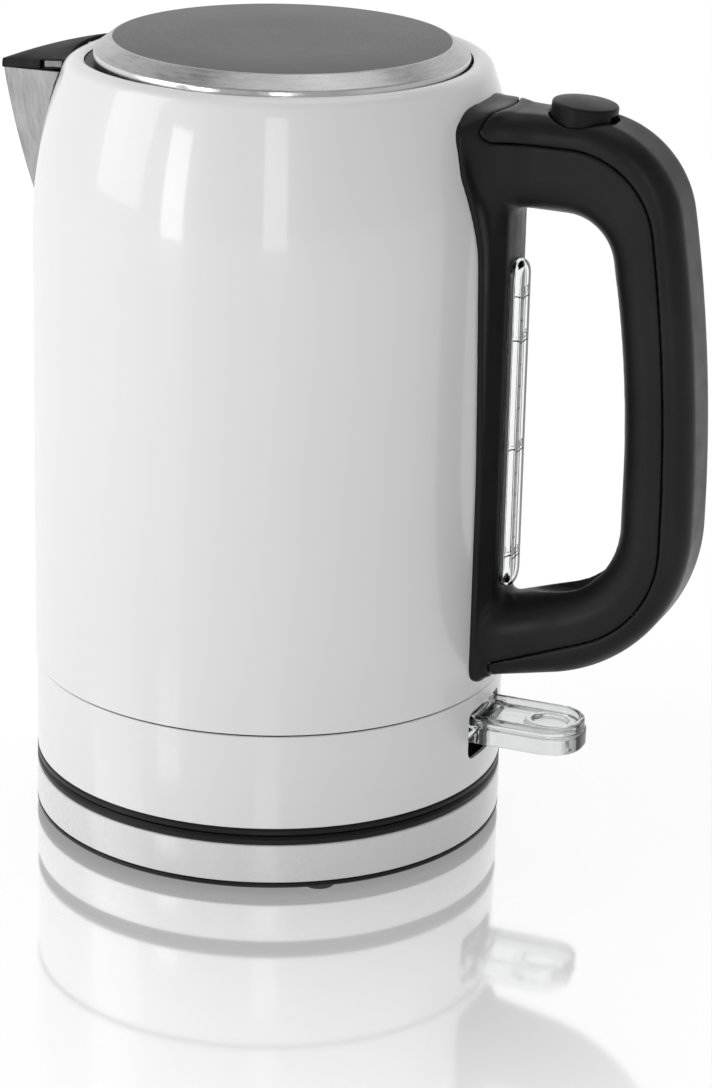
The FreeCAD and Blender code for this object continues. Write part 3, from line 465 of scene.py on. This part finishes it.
LID_CENTRE = ((LID_LOW.x + LID_HIGH.x) / 2 * MM, 0.0)
FINISHES = {
    "white_lacquer": lacquer("white_lacquer_paint", 0.70),
    "white_plastic": moulded("white_gloss_plastic", 0.612, 0.63, 0.28, grain=1500,
                             height=0.000008, coat=0.6),
    "black_plastic": moulded("black_satin_plastic", 0.007, 0.012, 0.33, shine=0.17),
    "black_inner": moulded("black_inner_plastic", 0.012, 0.02, 0.5, grain=1400),
    "brushed_lid": brushed("brushed_lid_steel", 0.36, 0.54, 0.30, centre=LID_CENTRE),
    "steel": brushed("soft_steel", 0.50, 0.68, 0.33, stretch=(900, 900, 60)),
    "chrome": bare_metal("plated_steel", (0.75, 0.75, 0.76), 0.14),
    "aluminium": bare_metal("cast_aluminium", (0.66, 0.67, 0.68), 0.42, scale=1500),
    "brass": bare_metal("contact_brass", (0.72, 0.52, 0.24), 0.26),
    "rubber": rubbery("black_rubber", 0.02, 0.035, 0.65),
    "silicone": rubbery("grey_silicone", 0.42, 0.52, 0.45),
    "clear": clear_plastic("clear_plastic", (0.97, 0.98, 0.98)),
    "lamp": clear_plastic("amber_lamp_lens", (0.95, 0.45, 0.12), 0.12),
    # The lid's flat top: the lid's brushed steel painted much darker, a painted dark reflection of the
    # surroundings it faces.
    "lid_top": brushed("lid_top_painted_dark_reflection", 0.085, 0.115, 0.42, centre=LID_CENTRE, lines=0.000006),
    "polished_edge": bare_metal("polished_edge_steel", (0.72, 0.72, 0.73), 0.12, scale=500),
    "tank_steel": brushed("tank_inside_steel", 0.50, 0.64, 0.30, centre=(0.0, 0.0), lines=0.000008),
    "spout_steel": brushed("spout_brushed_steel", 0.27, 0.48, 0.36, stretch=(420, 420, 110)),
    "clip_steel": brushed("clip_spring_steel", 0.13, 0.30, 0.40, stretch=(900, 900, 120)),
    "cover_plastic": moulded("spout_cover_plastic", 0.006, 0.010, 0.46, grain=1600, shine=0.05),
    "ink": moulded("printed_ink", 0.02, 0.035, 0.6, grain=3000, height=0.000005),
    # A grey copy of the clear plastic for the switch: painted shade, with the grey standing in for dark
    # reflections in the paddle.
    "lever_clear": clear_plastic("lever_clear_painted_grey_shade", (0.76, 0.77, 0.77)),
    "button_plastic": moulded("matt_black_button", 0.006, 0.010, 0.36, grain=1800, shine=0.12),
}


def dress_cad_nodes():
    """Gives every carried-over CAD node the procedural finish of its slot."""
    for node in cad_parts.values():
        for place in node.material_slots:
            for slot, material in FINISHES.items():
                if place.material.name.split(".")[0] == slot:
                    place.material = material


dress_cad_nodes()


def place_piece(piece, body, slot, *nodes):
    """The piece rides on a body and hides the CAD nodes it stands for. The slot is not used."""
    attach(piece, body)
    if nodes:
        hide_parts(*nodes)


# ---- base ring, lower band and lid cap ----

def make_base_ring():
    """The stand's white ring, with softly broken edges."""
    outer, low, high = RING_HIGH.x, RING_LOW.z, RING_HIGH.z
    inner, soft = outer - 2.0, 0.7
    profile = ([(inner, low)] + arc((outer - soft, low + soft), soft, -90, 0)
               + arc((outer - soft, high - soft), soft, 0, 90) + [(inner, high)])
    return lathe("base_ring_moulding", [(FINISHES["white_plastic"], profile)])


def make_lower_band():
    """The white band below the seam, with the switch's round-cornered slot and a rolled lower lip."""
    outer, low, high = BAND_HIGH.x, BAND_LOW.z, BAND_HIGH.z
    inner, soft = outer - 1.0, 0.45
    profile = ([(inner, low + 0.3)] + arc((outer - soft, low + soft), soft, -90, 0)
               + arc((outer - soft, high - soft), soft, 0, 90) + [(inner, high - 0.3)])
    band = lathe("lower_band_sheet", [(FINISHES["white_lacquer"], profile)])
    slot_low, slot_high, half, corner = low + 8.65, high - 4.6, 12.3, 3.0
    slot = rounded_box(half, slot_low, slot_high, corner)
    cut_away(band, prism("slot_cutter", slot, 55.0, 85.0))
    return band


def make_lid_cap():
    """The lid's brushed steel cap: flat top, wide bevel, polished lower edge. The flat top is a much
    darker copy of the same steel, a painted dark reflection.
    """
    centre = (LID_LOW.x + LID_HIGH.x) / 2
    edge_r, top, low = (LID_HIGH.x - LID_LOW.x) / 2, LID_HIGH.z, LID_LOW.z
    bevel_in, bevel_drop = 5.0, 3.7
    flat_r, shoulder = edge_r - bevel_in, top - bevel_drop
    top_face = [(0, top - 0.9), (0, top), (flat_r * 0.5, top), (flat_r - 0.5, top)]
    bevel = [(flat_r, top - 0.10), (flat_r + 0.4, top - 0.38)]
    bevel += [(edge_r - 0.7, shoulder + 0.30), (edge_r - 0.2, shoulder - 0.05)]
    rim = [(edge_r, shoulder - 0.45), (edge_r, low + 0.25), (edge_r - 0.3, low), (edge_r - 0.9, low)]
    under = [(edge_r - 0.9, shoulder - 0.8), (flat_r - 0.3, top - 0.9)]
    return lathe("lid_cap_steel", [
        # The flat top takes the darkened steel, a painted dark reflection.
        (FINISHES["lid_top"], top_face), (FINISHES["brushed_lid"], bevel),
        (FINISHES["polished_edge"], rim), (FINISHES["steel"], under)], axis=(centre, 0.0))


place_piece(make_base_ring(), "base", "white_plastic", "base_ring")
place_piece(make_lower_band(), "jug", "white_lacquer", "lower_band")
place_piece(make_lid_cap(), "lid", "brushed_lid", "lid_cap")


# ---- handle ----

GRIP_HALF = COVER_HIGH.y
GRIP_ROUND = 6.0
COLUMN_X = 75.0
COLUMN_HALF = 12.0
COLUMN_EDGE_X = 72.1
PARTING_GAP = 0.16
WELL_FLOOR = 205.0
BUTTON_R = 9.5
BUTTON_TILT = 5.0
BUTTON_X = (BUTTON_LOW.x + BUTTON_HIGH.x) / 2 + 0.1
BUTTON_TOP = BUTTON_HIGH.z - BUTTON_R * math.sin(math.radians(BUTTON_TILT))
WINDOW_HALF = WINDOW_HIGH.y
BOLT_WAY_HALF = 3.4
BOLT_WAY_TOP = 226.3


def handle_outlines():
    """The handle's side view: its outside, the finger gap, and the cover's share of it."""
    right, top, low = COVER_HIGH.x, COVER_HIGH.z, COVER_LOW.z
    outside = rounded([(40, top, 0), (right - 11.95, top, 31), (right, top - 69.6, 500),
                       (right, low + 12.0, 50), (76, low, 0), (40, low - 2, 0)])
    gap = rounded([(COLUMN_X, 197.6, 3), (right - 30.2, 197.2, 14), (right - 22.6, 150.8, 330),
                   (right - 22.6, 90.6, 23), (COLUMN_X, 79.4, 3)], closed=True)
    seam = rounded([(60, 218.0, 0), (right - 17.9, 217.8, 26), (right - 8.0, 154.6, 520),
                    (right - 8.0, 80.6, 34), (60, 55.6, 0), (60, 40, 0), (160, 40, 0),
                    (160, 240, 0), (60, 240, 0)], closed=True)
    return outside, gap, seam


def shield_outline():
    """The mount plate's edge, seen along X: narrow beside the window, flared at the top."""
    half, top, low = BODY_HIGH.y, BODY_HIGH.z, BODY_LOW.z
    right = [(half - 14.6, low, 9), (14.4, low, 6), (14.0, 118, 300), (17.0, 188, 60),
             (21.7, 209, 9), (20.2, 221, 7), (11.5, top + 0.4, 14)]
    left = [(-y, z, radius) for y, z, radius in reversed(right)]
    return rounded(right[1:] + left[:-1], closed=True)


def make_handle():
    """Grip and mount as one soft form, parted along the cover's seam."""
    block = Block((52.0, -25.0, 48.0), (136.0, 25.0, 230.0), 0.55)
    outside, gap, cover_share = handle_outlines()
    flat_x, flat_z = block.x[:, 0, :], block.z[0]
    in_outside = outline_field(outside, flat_x, flat_z)[:, None, :]
    in_gap = outline_field(gap, flat_x, flat_z)[:, None, :]
    in_share = outline_field(cover_share, flat_x, flat_z)[:, None, :]
    crown = GRIP_HALF - 0.9 * (np.clip(np.maximum(in_outside, -in_gap) + 13, 0, 13) / 13) ** 3
    flare = 8.0 * np.clip((83 - block.x) / 19, 0, 1) ** 2 * eased((block.z - 190) / 18)
    sides = np.abs(block.y) - crown - flare
    grip = np.maximum(meet(in_outside, sides, GRIP_ROUND), meet(-in_gap, sides, GRIP_ROUND + 4.6))

    away = shell_field(block)
    across = np.abs(block.y)
    upper = block.z > 140
    parting = np.where(upper, 71.8 - 0.014 * across ** 2, 74.4) - block.x
    in_share = meet(in_share, parting, np.where(upper, 3.6, 1.2))
    shoulder = half_plane(block.x, across, (COLUMN_EDGE_X, COLUMN_HALF), (2.6, 1.7))
    face_side = half_plane(block.x, across, (COLUMN_EDGE_X, COLUMN_HALF), (2.4, 2.9))
    column = meet(meet(shoulder, face_side, 0.3), block.x - COLUMN_X, 0.8)
    tall = np.maximum(block.z - (BODY_HIGH.z - 0.4), BODY_LOW.z + 1.5 - block.z)
    column = meet(column, tall, 1.5)
    shield = outline_field(shield_outline(), block.y[0], block.z[0])[None, :, :]
    grip = meet(grip, shield, 1.0)
    column = meet(column, shield, 1.0)
    plate = meet(away - 1.3, shield, 0.7)
    total = blend_union(plate, blend_union(grip, column, 1.6), 1.6)
    total = np.maximum(total, -(away + 0.6))

    body = meet(total, -(in_share - PARTING_GAP), 0.35)
    cover = meet(total, in_share + PARTING_GAP, 0.55)
    centre = Vector((BUTTON_X, 0, BUTTON_TOP))
    lean = math.radians(BUTTON_TILT)
    across_x = (block.x - centre.x) * math.cos(lean) - (block.z - centre.z) * math.sin(lean)
    well = np.hypot(across_x, block.y) - BUTTON_R - 0.5
    well = np.maximum(well, WELL_FLOOR - block.z)
    cover = meet(cover, -well, 0.7)
    body = np.maximum(body, -well)

    half, low, high = WINDOW_HALF + 0.15, WINDOW_LOW.z - 0.1, WINDOW_HIGH.z + 0.1
    window = rounded_box(half, low, high, WINDOW_HALF)
    opening = outline_field(window, block.y[0], block.z[0])[None, :, :]
    body = meet(body, -opening, 0.3)
    black = [FINISHES["black_plastic"]]
    parts = []
    for name, field in (("handle_body_moulding", body), ("handle_cover_moulding", cover)):
        parts.append(finish_mesh(name, block.mesh(name, field), black, sharp_angle=50))
    return parts


def make_button():
    """A round push button with a gently domed top."""
    top, low, dome, soft = 0.6, -6.0, 0.5, 0.8
    reach = BUTTON_R - soft
    face = [(reach * step / 6, top + dome * (1 - (step / 6) ** 2.4)) for step in range(6)]
    edge = arc((reach, top - soft), soft, 84, 0, 6)
    skirt = [(BUTTON_R, low), (BUTTON_R - 1.4, low), (BUTTON_R - 1.4, top - 2.0), (0, top - 2.0)]
    button = lathe("lid_button_cap", [(FINISHES["button_plastic"], face + edge + skirt)], steps=160)
    lean = Matrix.Rotation(math.radians(BUTTON_TILT), 4, "Y")
    button.data.transform(Matrix.Translation((BUTTON_X * MM, 0, BUTTON_TOP * MM)) @ lean)
    bolt_way = rounded_box(BOLT_WAY_HALF, 215.0, BOLT_WAY_TOP, 0.4)
    cut_away(button, prism("bolt_way_cutter", bolt_way, 70.0, 115.0))
    return button


place_piece(make_button(), "button", "black_plastic", "lid_button")
handle_body, handle_cover = make_handle()
place_piece(handle_body, "jug", "black_plastic", "handle_body")
place_piece(handle_cover, "jug", "black_plastic", "handle_cover")


# ---- shell ----

def shell_radius(height):
    """The jug's outside radius at a height."""
    over = np.maximum(height - SHOULDER_START, 0)
    return JUG_R - SHOULDER_R + np.sqrt(SHOULDER_R ** 2 - over ** 2)


def dip_rim(shell):
    """Lowers the rim a little over the spout, where the spout's cover lies against it."""
    dip, start = 2.4, SHELL_HIGH.z - 28
    for vert in shell.data.vertices:
        place = vert.co / MM
        facing = max(0.0, -place.x / max(place.xy.length, 1.0))
        rise = min(1.0, max(0.0, (place.z - start) / (SHELL_HIGH.z - start)))
        vert.co.z -= dip * MM * facing ** 4 * rise * rise * (3 - 2 * rise)


def make_shell():
    """The jug's shell: lacquered outside with a rolled rim, brushed steel inside."""
    low, top, wall = SHELL_LOW.z, SHELL_HIGH.z, 0.8
    centre_x = JUG_R - SHOULDER_R
    reach = SHOULDER_R - RIM_ROUND
    rise = math.degrees(math.asin((top - RIM_ROUND - SHOULDER_START) / reach))
    rim = (centre_x + reach * math.cos(math.radians(rise)), top - RIM_ROUND)
    mouth = rim[0] - 2.2
    lip_turn = math.degrees(math.acos((mouth - rim[0]) / RIM_ROUND))
    outside = [(JUG_R, low), (JUG_R, low + 45), (JUG_R, low + 90)]
    outside += arc((centre_x, SHOULDER_START), SHOULDER_R, 0, rise, 24)
    outside += arc(rim, RIM_ROUND, rise, lip_turn, 14)[1:]
    lip_height = outside[-1][1] - 1.6
    inside = [(mouth, lip_height), (mouth + wall, lip_height)]
    inside += arc(rim, RIM_ROUND - wall, lip_turn, rise, 10)
    inside += arc((centre_x, SHOULDER_START), SHOULDER_R - wall, rise, 0, 16)
    inside += [(JUG_R - wall, low + 90), (JUG_R - wall, low + 45), (JUG_R - wall, low)]
    shell = lathe("jug_shell", [(FINISHES["white_lacquer"], outside), (FINISHES["tank_steel"], inside)])
    dip_rim(shell)
    gauge_low, gauge_high = WINDOW_LOW.z + 5, WINDOW_HIGH.z - 5
    cut_away(shell, prism("gauge_cutter", rounded_box(3.4, gauge_low, gauge_high, 3), 60.0, 90.0))
    spout_gap = [(-15, 222, 2), (-3, 182, 2), (3, 182, 2), (15, 222, 2)]
    cut_away(shell, prism("spout_cutter", rounded(spout_gap, closed=True), -95.0, -55.0))
    cut_away(shell, prism("bolt_cutter", rounded_box(3.5, 218.2, 222.2, 0.5), 55.0, 80.0))
    return shell


place_piece(make_shell(), "jug", "white_lacquer", "body_shell")


# ---- spout ----

NOSE_R = 2.2
CROSSING_X = -60.5
NOSE_TURN = math.radians(70)
NOSE_SHARE = 0.12
SPOUT_FOOT = SPOUT_LOW.z
SPOUT_TIP_X = ROOF_LOW.x


def spout_level(height):
    """How far out the spout's nose is at a height, and its half width where it meets the rim."""
    rise = (height - SPOUT_FOOT) / 54.8
    front = 72.4 + 24.4 * rise - 7.5 * rise * rise
    half = 2.0 + 36.0 * rise - 14.0 * rise * rise
    return front, half


def steel_edge(x):
    """Height of the steel's top edge, which climbs from the tip to the rim."""
    return ROOF_LOW.z + 0.213 * (x - SPOUT_TIP_X)


def spout_point(share, height):
    """A point of the spout's V: share 0 is its nose and share 1 or -1 where it meets the shell."""
    front, half = spout_level(height)
    side = 1 if share >= 0 else -1
    if abs(share) < NOSE_SHARE:
        turn = abs(share) / NOSE_SHARE * NOSE_TURN
        across = side * NOSE_R * math.sin(turn) * 0.8
        return Vector((-front + NOSE_R * (1 - math.cos(turn)), across, height))
    start = Vector((-front + NOSE_R * (1 - math.cos(NOSE_TURN)), NOSE_R * 0.75, height))
    spread = half * (front - 50.0) / (front + CROSSING_X)
    end = Vector((-50.0, spread, height))
    radius = float(shell_radius(height))
    low, high = 0.0, 1.0
    for _ in range(24):
        middle = (low + high) / 2
        if start.lerp(end, middle).xy.length > radius + 0.5:
            low = middle
        else:
            high = middle
    along = (abs(share) - NOSE_SHARE) / (1 - NOSE_SHARE) * low
    point = start.lerp(end, along)
    return Vector((point.x, side * point.y, height))


def spout_row(rise):
    """One row of the spout from lip to lip, at a share of its height. The lips narrow to the foot."""
    row = []
    for share in [step / 16 for step in range(-16, 17)]:
        height = SPOUT_FOOT + rise * 55
        for _ in range(5):
            x = spout_point(share, height).x
            height = SPOUT_FOOT + rise * (steel_edge(x) - SPOUT_FOOT)
        row.append(spout_point(share, height))
    for end, side in ((0, -1), (-1, 1)):
        corner = row[end]
        turned = math.atan2(corner.y, corner.x)
        lip = []
        width = 0.15 + 0.85 * min(rise * 6, 1)
        for sweep, lift in ((0.5, 0.28), (1.0, 0.42), (1.9, 0.42), (2.2, 0.05)):
            radius = float(shell_radius(corner.z)) + lift
            angle = turned - side * sweep * width / radius
            lip.append(Vector((radius * math.cos(angle), radius * math.sin(angle), corner.z)))
        row = lip[::-1] + row if end == 0 else row + lip
    return row


def make_spout():
    """The spout's folded steel sheet, with the narrow lip that lies on the shell."""
    rows = [spout_row(step / 44) for step in range(45)]
    spout = finish_mesh("spout_sheet", grid_mesh("spout_sheet", rows), [FINISHES["spout_steel"]], 40)
    thicken(spout, 0.8, offset=1.0)
    return spout


def roof_point(along, across):
    """A point of the spout cover's roof, from its tip to the rim and from side to side."""
    back_r = 61.3
    turn = across * math.asin(24.0 / back_r)
    back = Vector((-back_r * math.cos(turn), back_r * math.sin(turn)))
    swing = across * math.radians(75)
    nose = Vector((SPOUT_TIP_X + 1.8 * (1 - math.cos(swing)), 1.8 * math.sin(swing)))
    spot = nose.lerp(back, along)
    run = min((spot.x - SPOUT_TIP_X) / 28, 1)
    edge = steel_edge(spot.x) + 2.6 + 0.5 * run
    ridge = max(edge, ROOF_LOW.z + 2.7 + 8.5 * (1 - (1 - run) ** 1.35))
    height = edge + (ridge - edge) * (1 - abs(across) ** 1.9)
    return Vector((spot.x, spot.y, height))


def make_spout_cover():
    """The black roof over the spout: crowned top, upright side band with a notch, hollow below."""
    reach, half = 40, 14
    stations = [(step / reach) ** 1.15 for step in range(reach + 1)]
    rows = [[roof_point(along, across / half) for across in range(-half, half + 1)]
            for along in stations]
    top = grid_mesh("spout_cover_moulding", rows)
    shape = bmesh.new()
    shape.from_mesh(top)
    edge = [row[0] for row in rows[::-1]] + rows[0][1:-1] + [row[-1] for row in rows]
    shares = stations[::-1] + [0.0] * (2 * half - 1) + stations
    columns = []
    for point in edge:
        out = Vector((point.x + 50, point.y, 0)).normalized() * 0.25
        drop = point.z - steel_edge(point.x) - 0.15
        heights = (0.0, 0.10, 0.5, 1.0)
        columns.append([shape.verts.new(point + out * min(1, share * 4) - Vector((0, 0, drop * share)))
                        for share in heights])
    for index in range(len(columns) - 1):
        notched = 0.60 < shares[index] < 0.665
        for row in range(3):
            if notched and row > 0:
                continue
            here, there = columns[index], columns[index + 1]
            shape.faces.new((here[row], there[row], there[row + 1], here[row + 1]))
    bmesh.ops.remove_doubles(shape, verts=shape.verts, dist=0.02)
    bmesh.ops.recalc_face_normals(shape, faces=shape.faces)
    shape.to_mesh(top)
    shape.free()
    cover = finish_mesh("spout_cover_moulding", top, [FINISHES["cover_plastic"]], 38)
    if cover.data.polygons[len(cover.data.polygons) // 3].normal.z < 0:
        cover.data.flip_normals()
    thicken(cover, 1.0, even=False)
    return cover


def make_cover_clip(side):
    """The grey spring clip that shows in the side of the spout cover, next to the shell."""
    rows = []
    for level in (0.18, 0.45, 0.72):
        row = []
        for step in range(9):
            point = roof_point(0.70 + 0.25 * step / 8, side)
            out = Vector((point.x + 50, point.y, 0)).normalized()
            bulge = 0.32 + 0.18 * math.sin(math.pi * step / 4) ** 2
            drop = (point.z - steel_edge(point.x)) * level
            row.append(point + out * (0.25 + bulge) - Vector((0, 0, drop)))
        rows.append(row)
    name = "cover_clip_near" if side < 0 else "cover_clip_far"
    clip = finish_mesh(name, grid_mesh(name, rows), [FINISHES["clip_steel"]], 40)
    thicken(clip, 0.6, offset=0.0)
    return clip


place_piece(make_spout(), "jug", "steel", "spout")
place_piece(make_spout_cover(), "jug", "black_plastic", "spout_cover")
for clip_side in (-1, 1):
    place_piece(make_cover_clip(clip_side), "jug", "steel")


# ---- water window ----

def window_ring(inset, x):
    """The window's round-ended outline, drawn in by inset, at a distance out."""
    half, low, high = WINDOW_HALF - inset, WINDOW_LOW.z + inset, WINDOW_HIGH.z - inset
    ring = []
    for centre, start in ((high - half, 0), (low + half, 180)):
        for step in range(25):
            turn = math.radians(start + 180 * step / 24)
            ring.append(Vector((x, half * math.cos(turn), centre + half * math.sin(turn))))
    return ring


def make_window():
    """The clear gauge: a round-ended cup with softly rounded edges."""
    back, face, round_r, wall = WINDOW_LOW.x, WINDOW_HIGH.x, 1.6, 1.5
    rings = [window_ring(0, back), window_ring(0, face - round_r)]
    for step in range(1, 7):
        turn = math.radians(15 * step)
        rings.append(window_ring(round_r * (1 - math.cos(turn)), face - round_r * (1 - math.sin(turn))))
    cavity = [window_ring(wall, back), window_ring(wall, face - 2.6),
              window_ring(wall + 0.3, face - 2.1), window_ring(wall + 1.0, face - 1.9)]
    shape = bmesh.new()
    outer = [[shape.verts.new(point) for point in ring] for ring in rings]
    inner = [[shape.verts.new(point) for point in ring] for ring in cavity]
    loops = inner[::-1] + outer
    count = len(loops[0])
    for first, second in zip(loops, loops[1:]):
        for step in range(count):
            other = (step + 1) % count
            shape.faces.new((first[step], first[other], second[other], second[step]))
    shape.faces.new(loops[0])
    shape.faces.new(loops[-1])
    bmesh.ops.recalc_face_normals(shape, faces=shape.faces)
    mesh = bpy.data.meshes.new("water_gauge")
    shape.to_mesh(mesh)
    shape.free()
    return finish_mesh("water_gauge", mesh, [FINISHES["clear"]], 40)


def gauge_text(litres, height, size, y):
    """A generic scale number, printed on the gauge and read from outside."""
    words = bpy.data.curves.new("number", "FONT")
    words.body = litres
    words.size = size
    words.extrude = 0.03
    words.align_x, words.align_y = "CENTER", "CENTER"
    holder = bpy.data.objects.new("number", words)
    mesh = bpy.data.meshes.new_from_object(holder)
    bpy.data.objects.remove(holder)
    upright = Matrix.Rotation(math.pi / 2, 4, "Z") @ Matrix.Rotation(math.pi / 2, 4, "X")
    mesh.transform(Matrix.Translation((WINDOW_HIGH.x + 0.03, y, height)) @ upright)
    return finish_mesh(f"gauge_number_{litres.replace('.', '_')}", mesh, [FINISHES["ink"]])


def gauge_stroke(name, height, low_y, high_y, thick=0.4):
    """A printed stroke of the scale, with softened corners."""
    low, high, soft = height - thick / 2, height + thick / 2, 0.15
    outline = rounded([(low_y, low, soft), (high_y, low, soft),
                       (high_y, high, soft), (low_y, high, soft)], closed=True)
    stroke = prism(name, outline, WINDOW_HIGH.x, WINDOW_HIGH.x + 0.06)
    stroke.data.materials.append(FINISHES["ink"])
    return stroke


LITRE_MARKS = {"0.5": 91.6, "1.0": 124.4, "1.5": 157.5, "1.7": 170.7}
TENTH = 6.6
STROKE_START = -3.4


def make_scale():
    """Numbers and strokes of the water gauge."""
    for litres, height in LITRE_MARKS.items():
        place_piece(gauge_text(litres, height + 1.9, 3.3, 0.2), "jug", "black_inner")
        stroke = gauge_stroke(f"gauge_mark_{litres.replace('.', '_')}", height, STROKE_START, 3.0)
        place_piece(stroke, "jug", "black_inner")
    for step in range(1, 12):
        height = LITRE_MARKS["0.5"] + TENTH * step
        if min(abs(height - mark) for mark in LITRE_MARKS.values()) > 1:
            tick = gauge_stroke(f"gauge_tick_{step}", height, STROKE_START, -1.4, 0.3)
            place_piece(tick, "jug", "black_inner")


place_piece(make_window(), "jug", "clear", "water_window")
make_scale()


# ---- switch lever ----

def make_lever():
    """The clear switch: a thick paddle with a raised rim, a sunken floor and an oval thumb ring."""
    tip, half, low, high = LEVER_HIGH.x, LEVER_HIGH.y, LEVER_LOW.z, LEVER_HIGH.z
    block = Block((50.0, -half - 1.5, 33.0), (tip + 1.5, half + 1.5, high + 1.5), 0.3)
    root = 67.6
    pivot_x, pivot_z = 61.0, 38.5
    plan = rounded([(root, -half, 1.5), (tip, -half, 10), (tip, half, 10), (root, half, 1.5)],
                   closed=True)
    flat = outline_field(plan, block.x[:, :, 0], block.y[0, :, 0][None, :])[:, :, None]
    stepped = flat + 0.55 * np.clip((block.z - (high - 3.4)) / 0.5, 0, 1)
    upright = np.abs(block.z - (low + high) / 2) - (high - low) / 2
    paddle = meet(stepped, upright, 0.9)
    floor = high - 2.3
    paddle = meet(paddle, -np.maximum(flat + 2.3, floor - block.z), 0.5)
    oval = np.hypot((block.x - (tip - 10.5)) * 0.78, block.y)
    ring = np.maximum(np.abs(oval - 5.2) - 0.75, block.z - (floor + 1.1))
    ring = np.maximum(ring, floor - 1.5 - block.z)
    paddle = blend_union(paddle, ring, 0.9)
    aside = np.abs(block.y)
    level = np.abs(block.z - pivot_z)
    from_pivot = np.hypot(block.x - pivot_x, block.z - pivot_z)
    neck = meet(np.maximum(np.abs(block.x - 66) - 8, aside - 5.5), level - 3.0, 0.5)
    hub = np.maximum(from_pivot - 3.2, aside - 5.5)
    arm = np.maximum(np.maximum(np.abs(block.x - 56) - 4.5, aside - 4), level - 2)
    web = meet(np.maximum(np.abs(block.x - 71.2) - 1.7, aside - half + 0.5), level - 3.0, 0.4)
    lever = blend_union(paddle, np.minimum(web, np.minimum(neck, np.minimum(hub, arm))), 0.8)
    pin_bore = from_pivot - 1.28
    lever = np.maximum(lever, -pin_bore)
    mesh = block.mesh("switch_paddle", lever)
    # The paddle takes the grey copy of the clear plastic, which is painted shade.
    return finish_mesh("switch_paddle", mesh, [FINISHES["lever_clear"]], 50)


place_piece(make_lever(), "lever", "clear", "switch_lever")


# ---- stage, light and camera ----

def make_floor():
    """A round white table top that fills the picture, polished around the kettle."""
    made = Finish("white_table", Roughness=0.6, Base_Color=(0.32, 0.32, 0.32, 1),
                  Emission_Color=(1, 1, 1, 1), Emission_Strength=0.72)
    parts = made.add("ShaderNodeSeparateXYZ")
    made.link(made.place(), parts.inputs[0])
    squares = [made.maths("MULTIPLY", parts.outputs[axis], parts.outputs[axis]) for axis in "XY"]
    radius = made.maths("SQRT", made.maths("ADD", *squares))
    polish = made.range(radius, 0.62, 0.06, start=RING_HIGH.x * MM, stop=0.26)
    mirror = made.add("ShaderNodeBsdfGlossy", Color=(1, 1, 1, 1), Roughness=0.07)
    mixed = made.add("ShaderNodeMixShader")
    made.link(polish, mixed.inputs[0])
    made.link(made.shader.outputs[0], mixed.inputs[1])
    made.link(mirror.outputs[0], mixed.inputs[2])
    made.link(mixed.outputs[0], made.tree.nodes["Material Output"].inputs["Surface"])
    mesh = bpy.data.meshes.new("table_top")
    shape = bmesh.new()
    bmesh.ops.create_circle(shape, cap_ends=True, radius=6.0, segments=96)
    shape.to_mesh(mesh)
    shape.free()
    floor = bpy.data.objects.new("table_top", mesh)
    mesh.materials.append(made.material)
    bpy.context.scene.collection.objects.link(floor)


def soft_box(name, place, size, power, target=(0, 0, 0.12)):
    """An even rectangular lamp that faces the kettle."""
    lamp = bpy.data.lights.new(name, "AREA")
    lamp.shape = "RECTANGLE"
    lamp.size, lamp.size_y = size
    lamp.energy = power
    made = bpy.data.objects.new(name, lamp)
    made.location = place
    made.rotation_euler = (Vector(target) - Vector(place)).to_track_quat("-Z", "Y").to_euler()
    bpy.context.scene.collection.objects.link(made)


def make_light():
    """A white studio, dimmer overhead, at the right and behind the camera, with four soft boxes."""
    world = bpy.data.worlds.new("studio")
    world.use_nodes = True
    tree = world.node_tree
    background = tree.nodes["Background"]
    background.inputs["Color"].default_value = (1, 1, 1, 1)
    direction = tree.nodes.new("ShaderNodeTexCoord")
    parts = tree.nodes.new("ShaderNodeSeparateXYZ")
    tree.links.new(direction.outputs["Generated"], parts.inputs[0])
    strength = None
    for axis, start, stop, low, high in (("Z", 0.45, 0.85, 0.98, 0.45), ("X", 0.25, 0.8, 1.0, 0.6),
                                         ("Y", -0.95, -0.25, 0.55, 1.0)):
        fade = tree.nodes.new("ShaderNodeMapRange")
        set_range(fade, start, stop, low, high)
        tree.links.new(parts.outputs[axis], fade.inputs["Value"])
        if strength is None:
            strength = fade.outputs["Result"]
            continue
        product = tree.nodes.new("ShaderNodeMath")
        product.operation = "MULTIPLY"
        tree.links.new(strength, product.inputs[0])
        tree.links.new(fade.outputs["Result"], product.inputs[1])
        strength = product.outputs["Value"]
    tree.links.new(strength, background.inputs["Strength"])
    bpy.context.scene.world = world
    bpy.context.scene.view_settings.view_transform = "Standard"
    soft_box("window_left", (-1.5, -1.0, 0.9), (1.0, 1.6), 10)
    soft_box("front_strip", (-1.1, -2.3, 0.25), (0.5, 1.6), 13)
    soft_box("front_right", (1.0, -2.4, 0.6), (0.5, 1.6), 7)
    soft_box("overhead", (0.1, 0.4, 1.9), (1.2, 1.2), 4)


CAMERA_PLACE = (0.41066, -0.95814, 0.45559)
HEADING = math.radians(23.2) - 0.02443   # all three angles are in radians
TILT_DOWN = 0.34265
ROLL = 0.02342


def make_camera():
    """The view of the photograph: from the front, a little right, looking down."""
    data = bpy.data.cameras.new("view")
    data.lens = 121.16
    data.sensor_width = 36.0
    camera = bpy.data.objects.new("view", data)
    turn = (Matrix.Rotation(HEADING, 4, "Z") @ Matrix.Rotation(math.pi / 2 - TILT_DOWN, 4, "X")
            @ Matrix.Rotation(ROLL, 4, "Z"))
    camera.matrix_world = Matrix.Translation(CAMERA_PLACE) @ turn
    bpy.context.scene.collection.objects.link(camera)
    bpy.context.scene.camera = camera


make_floor()
make_light()
make_camera()
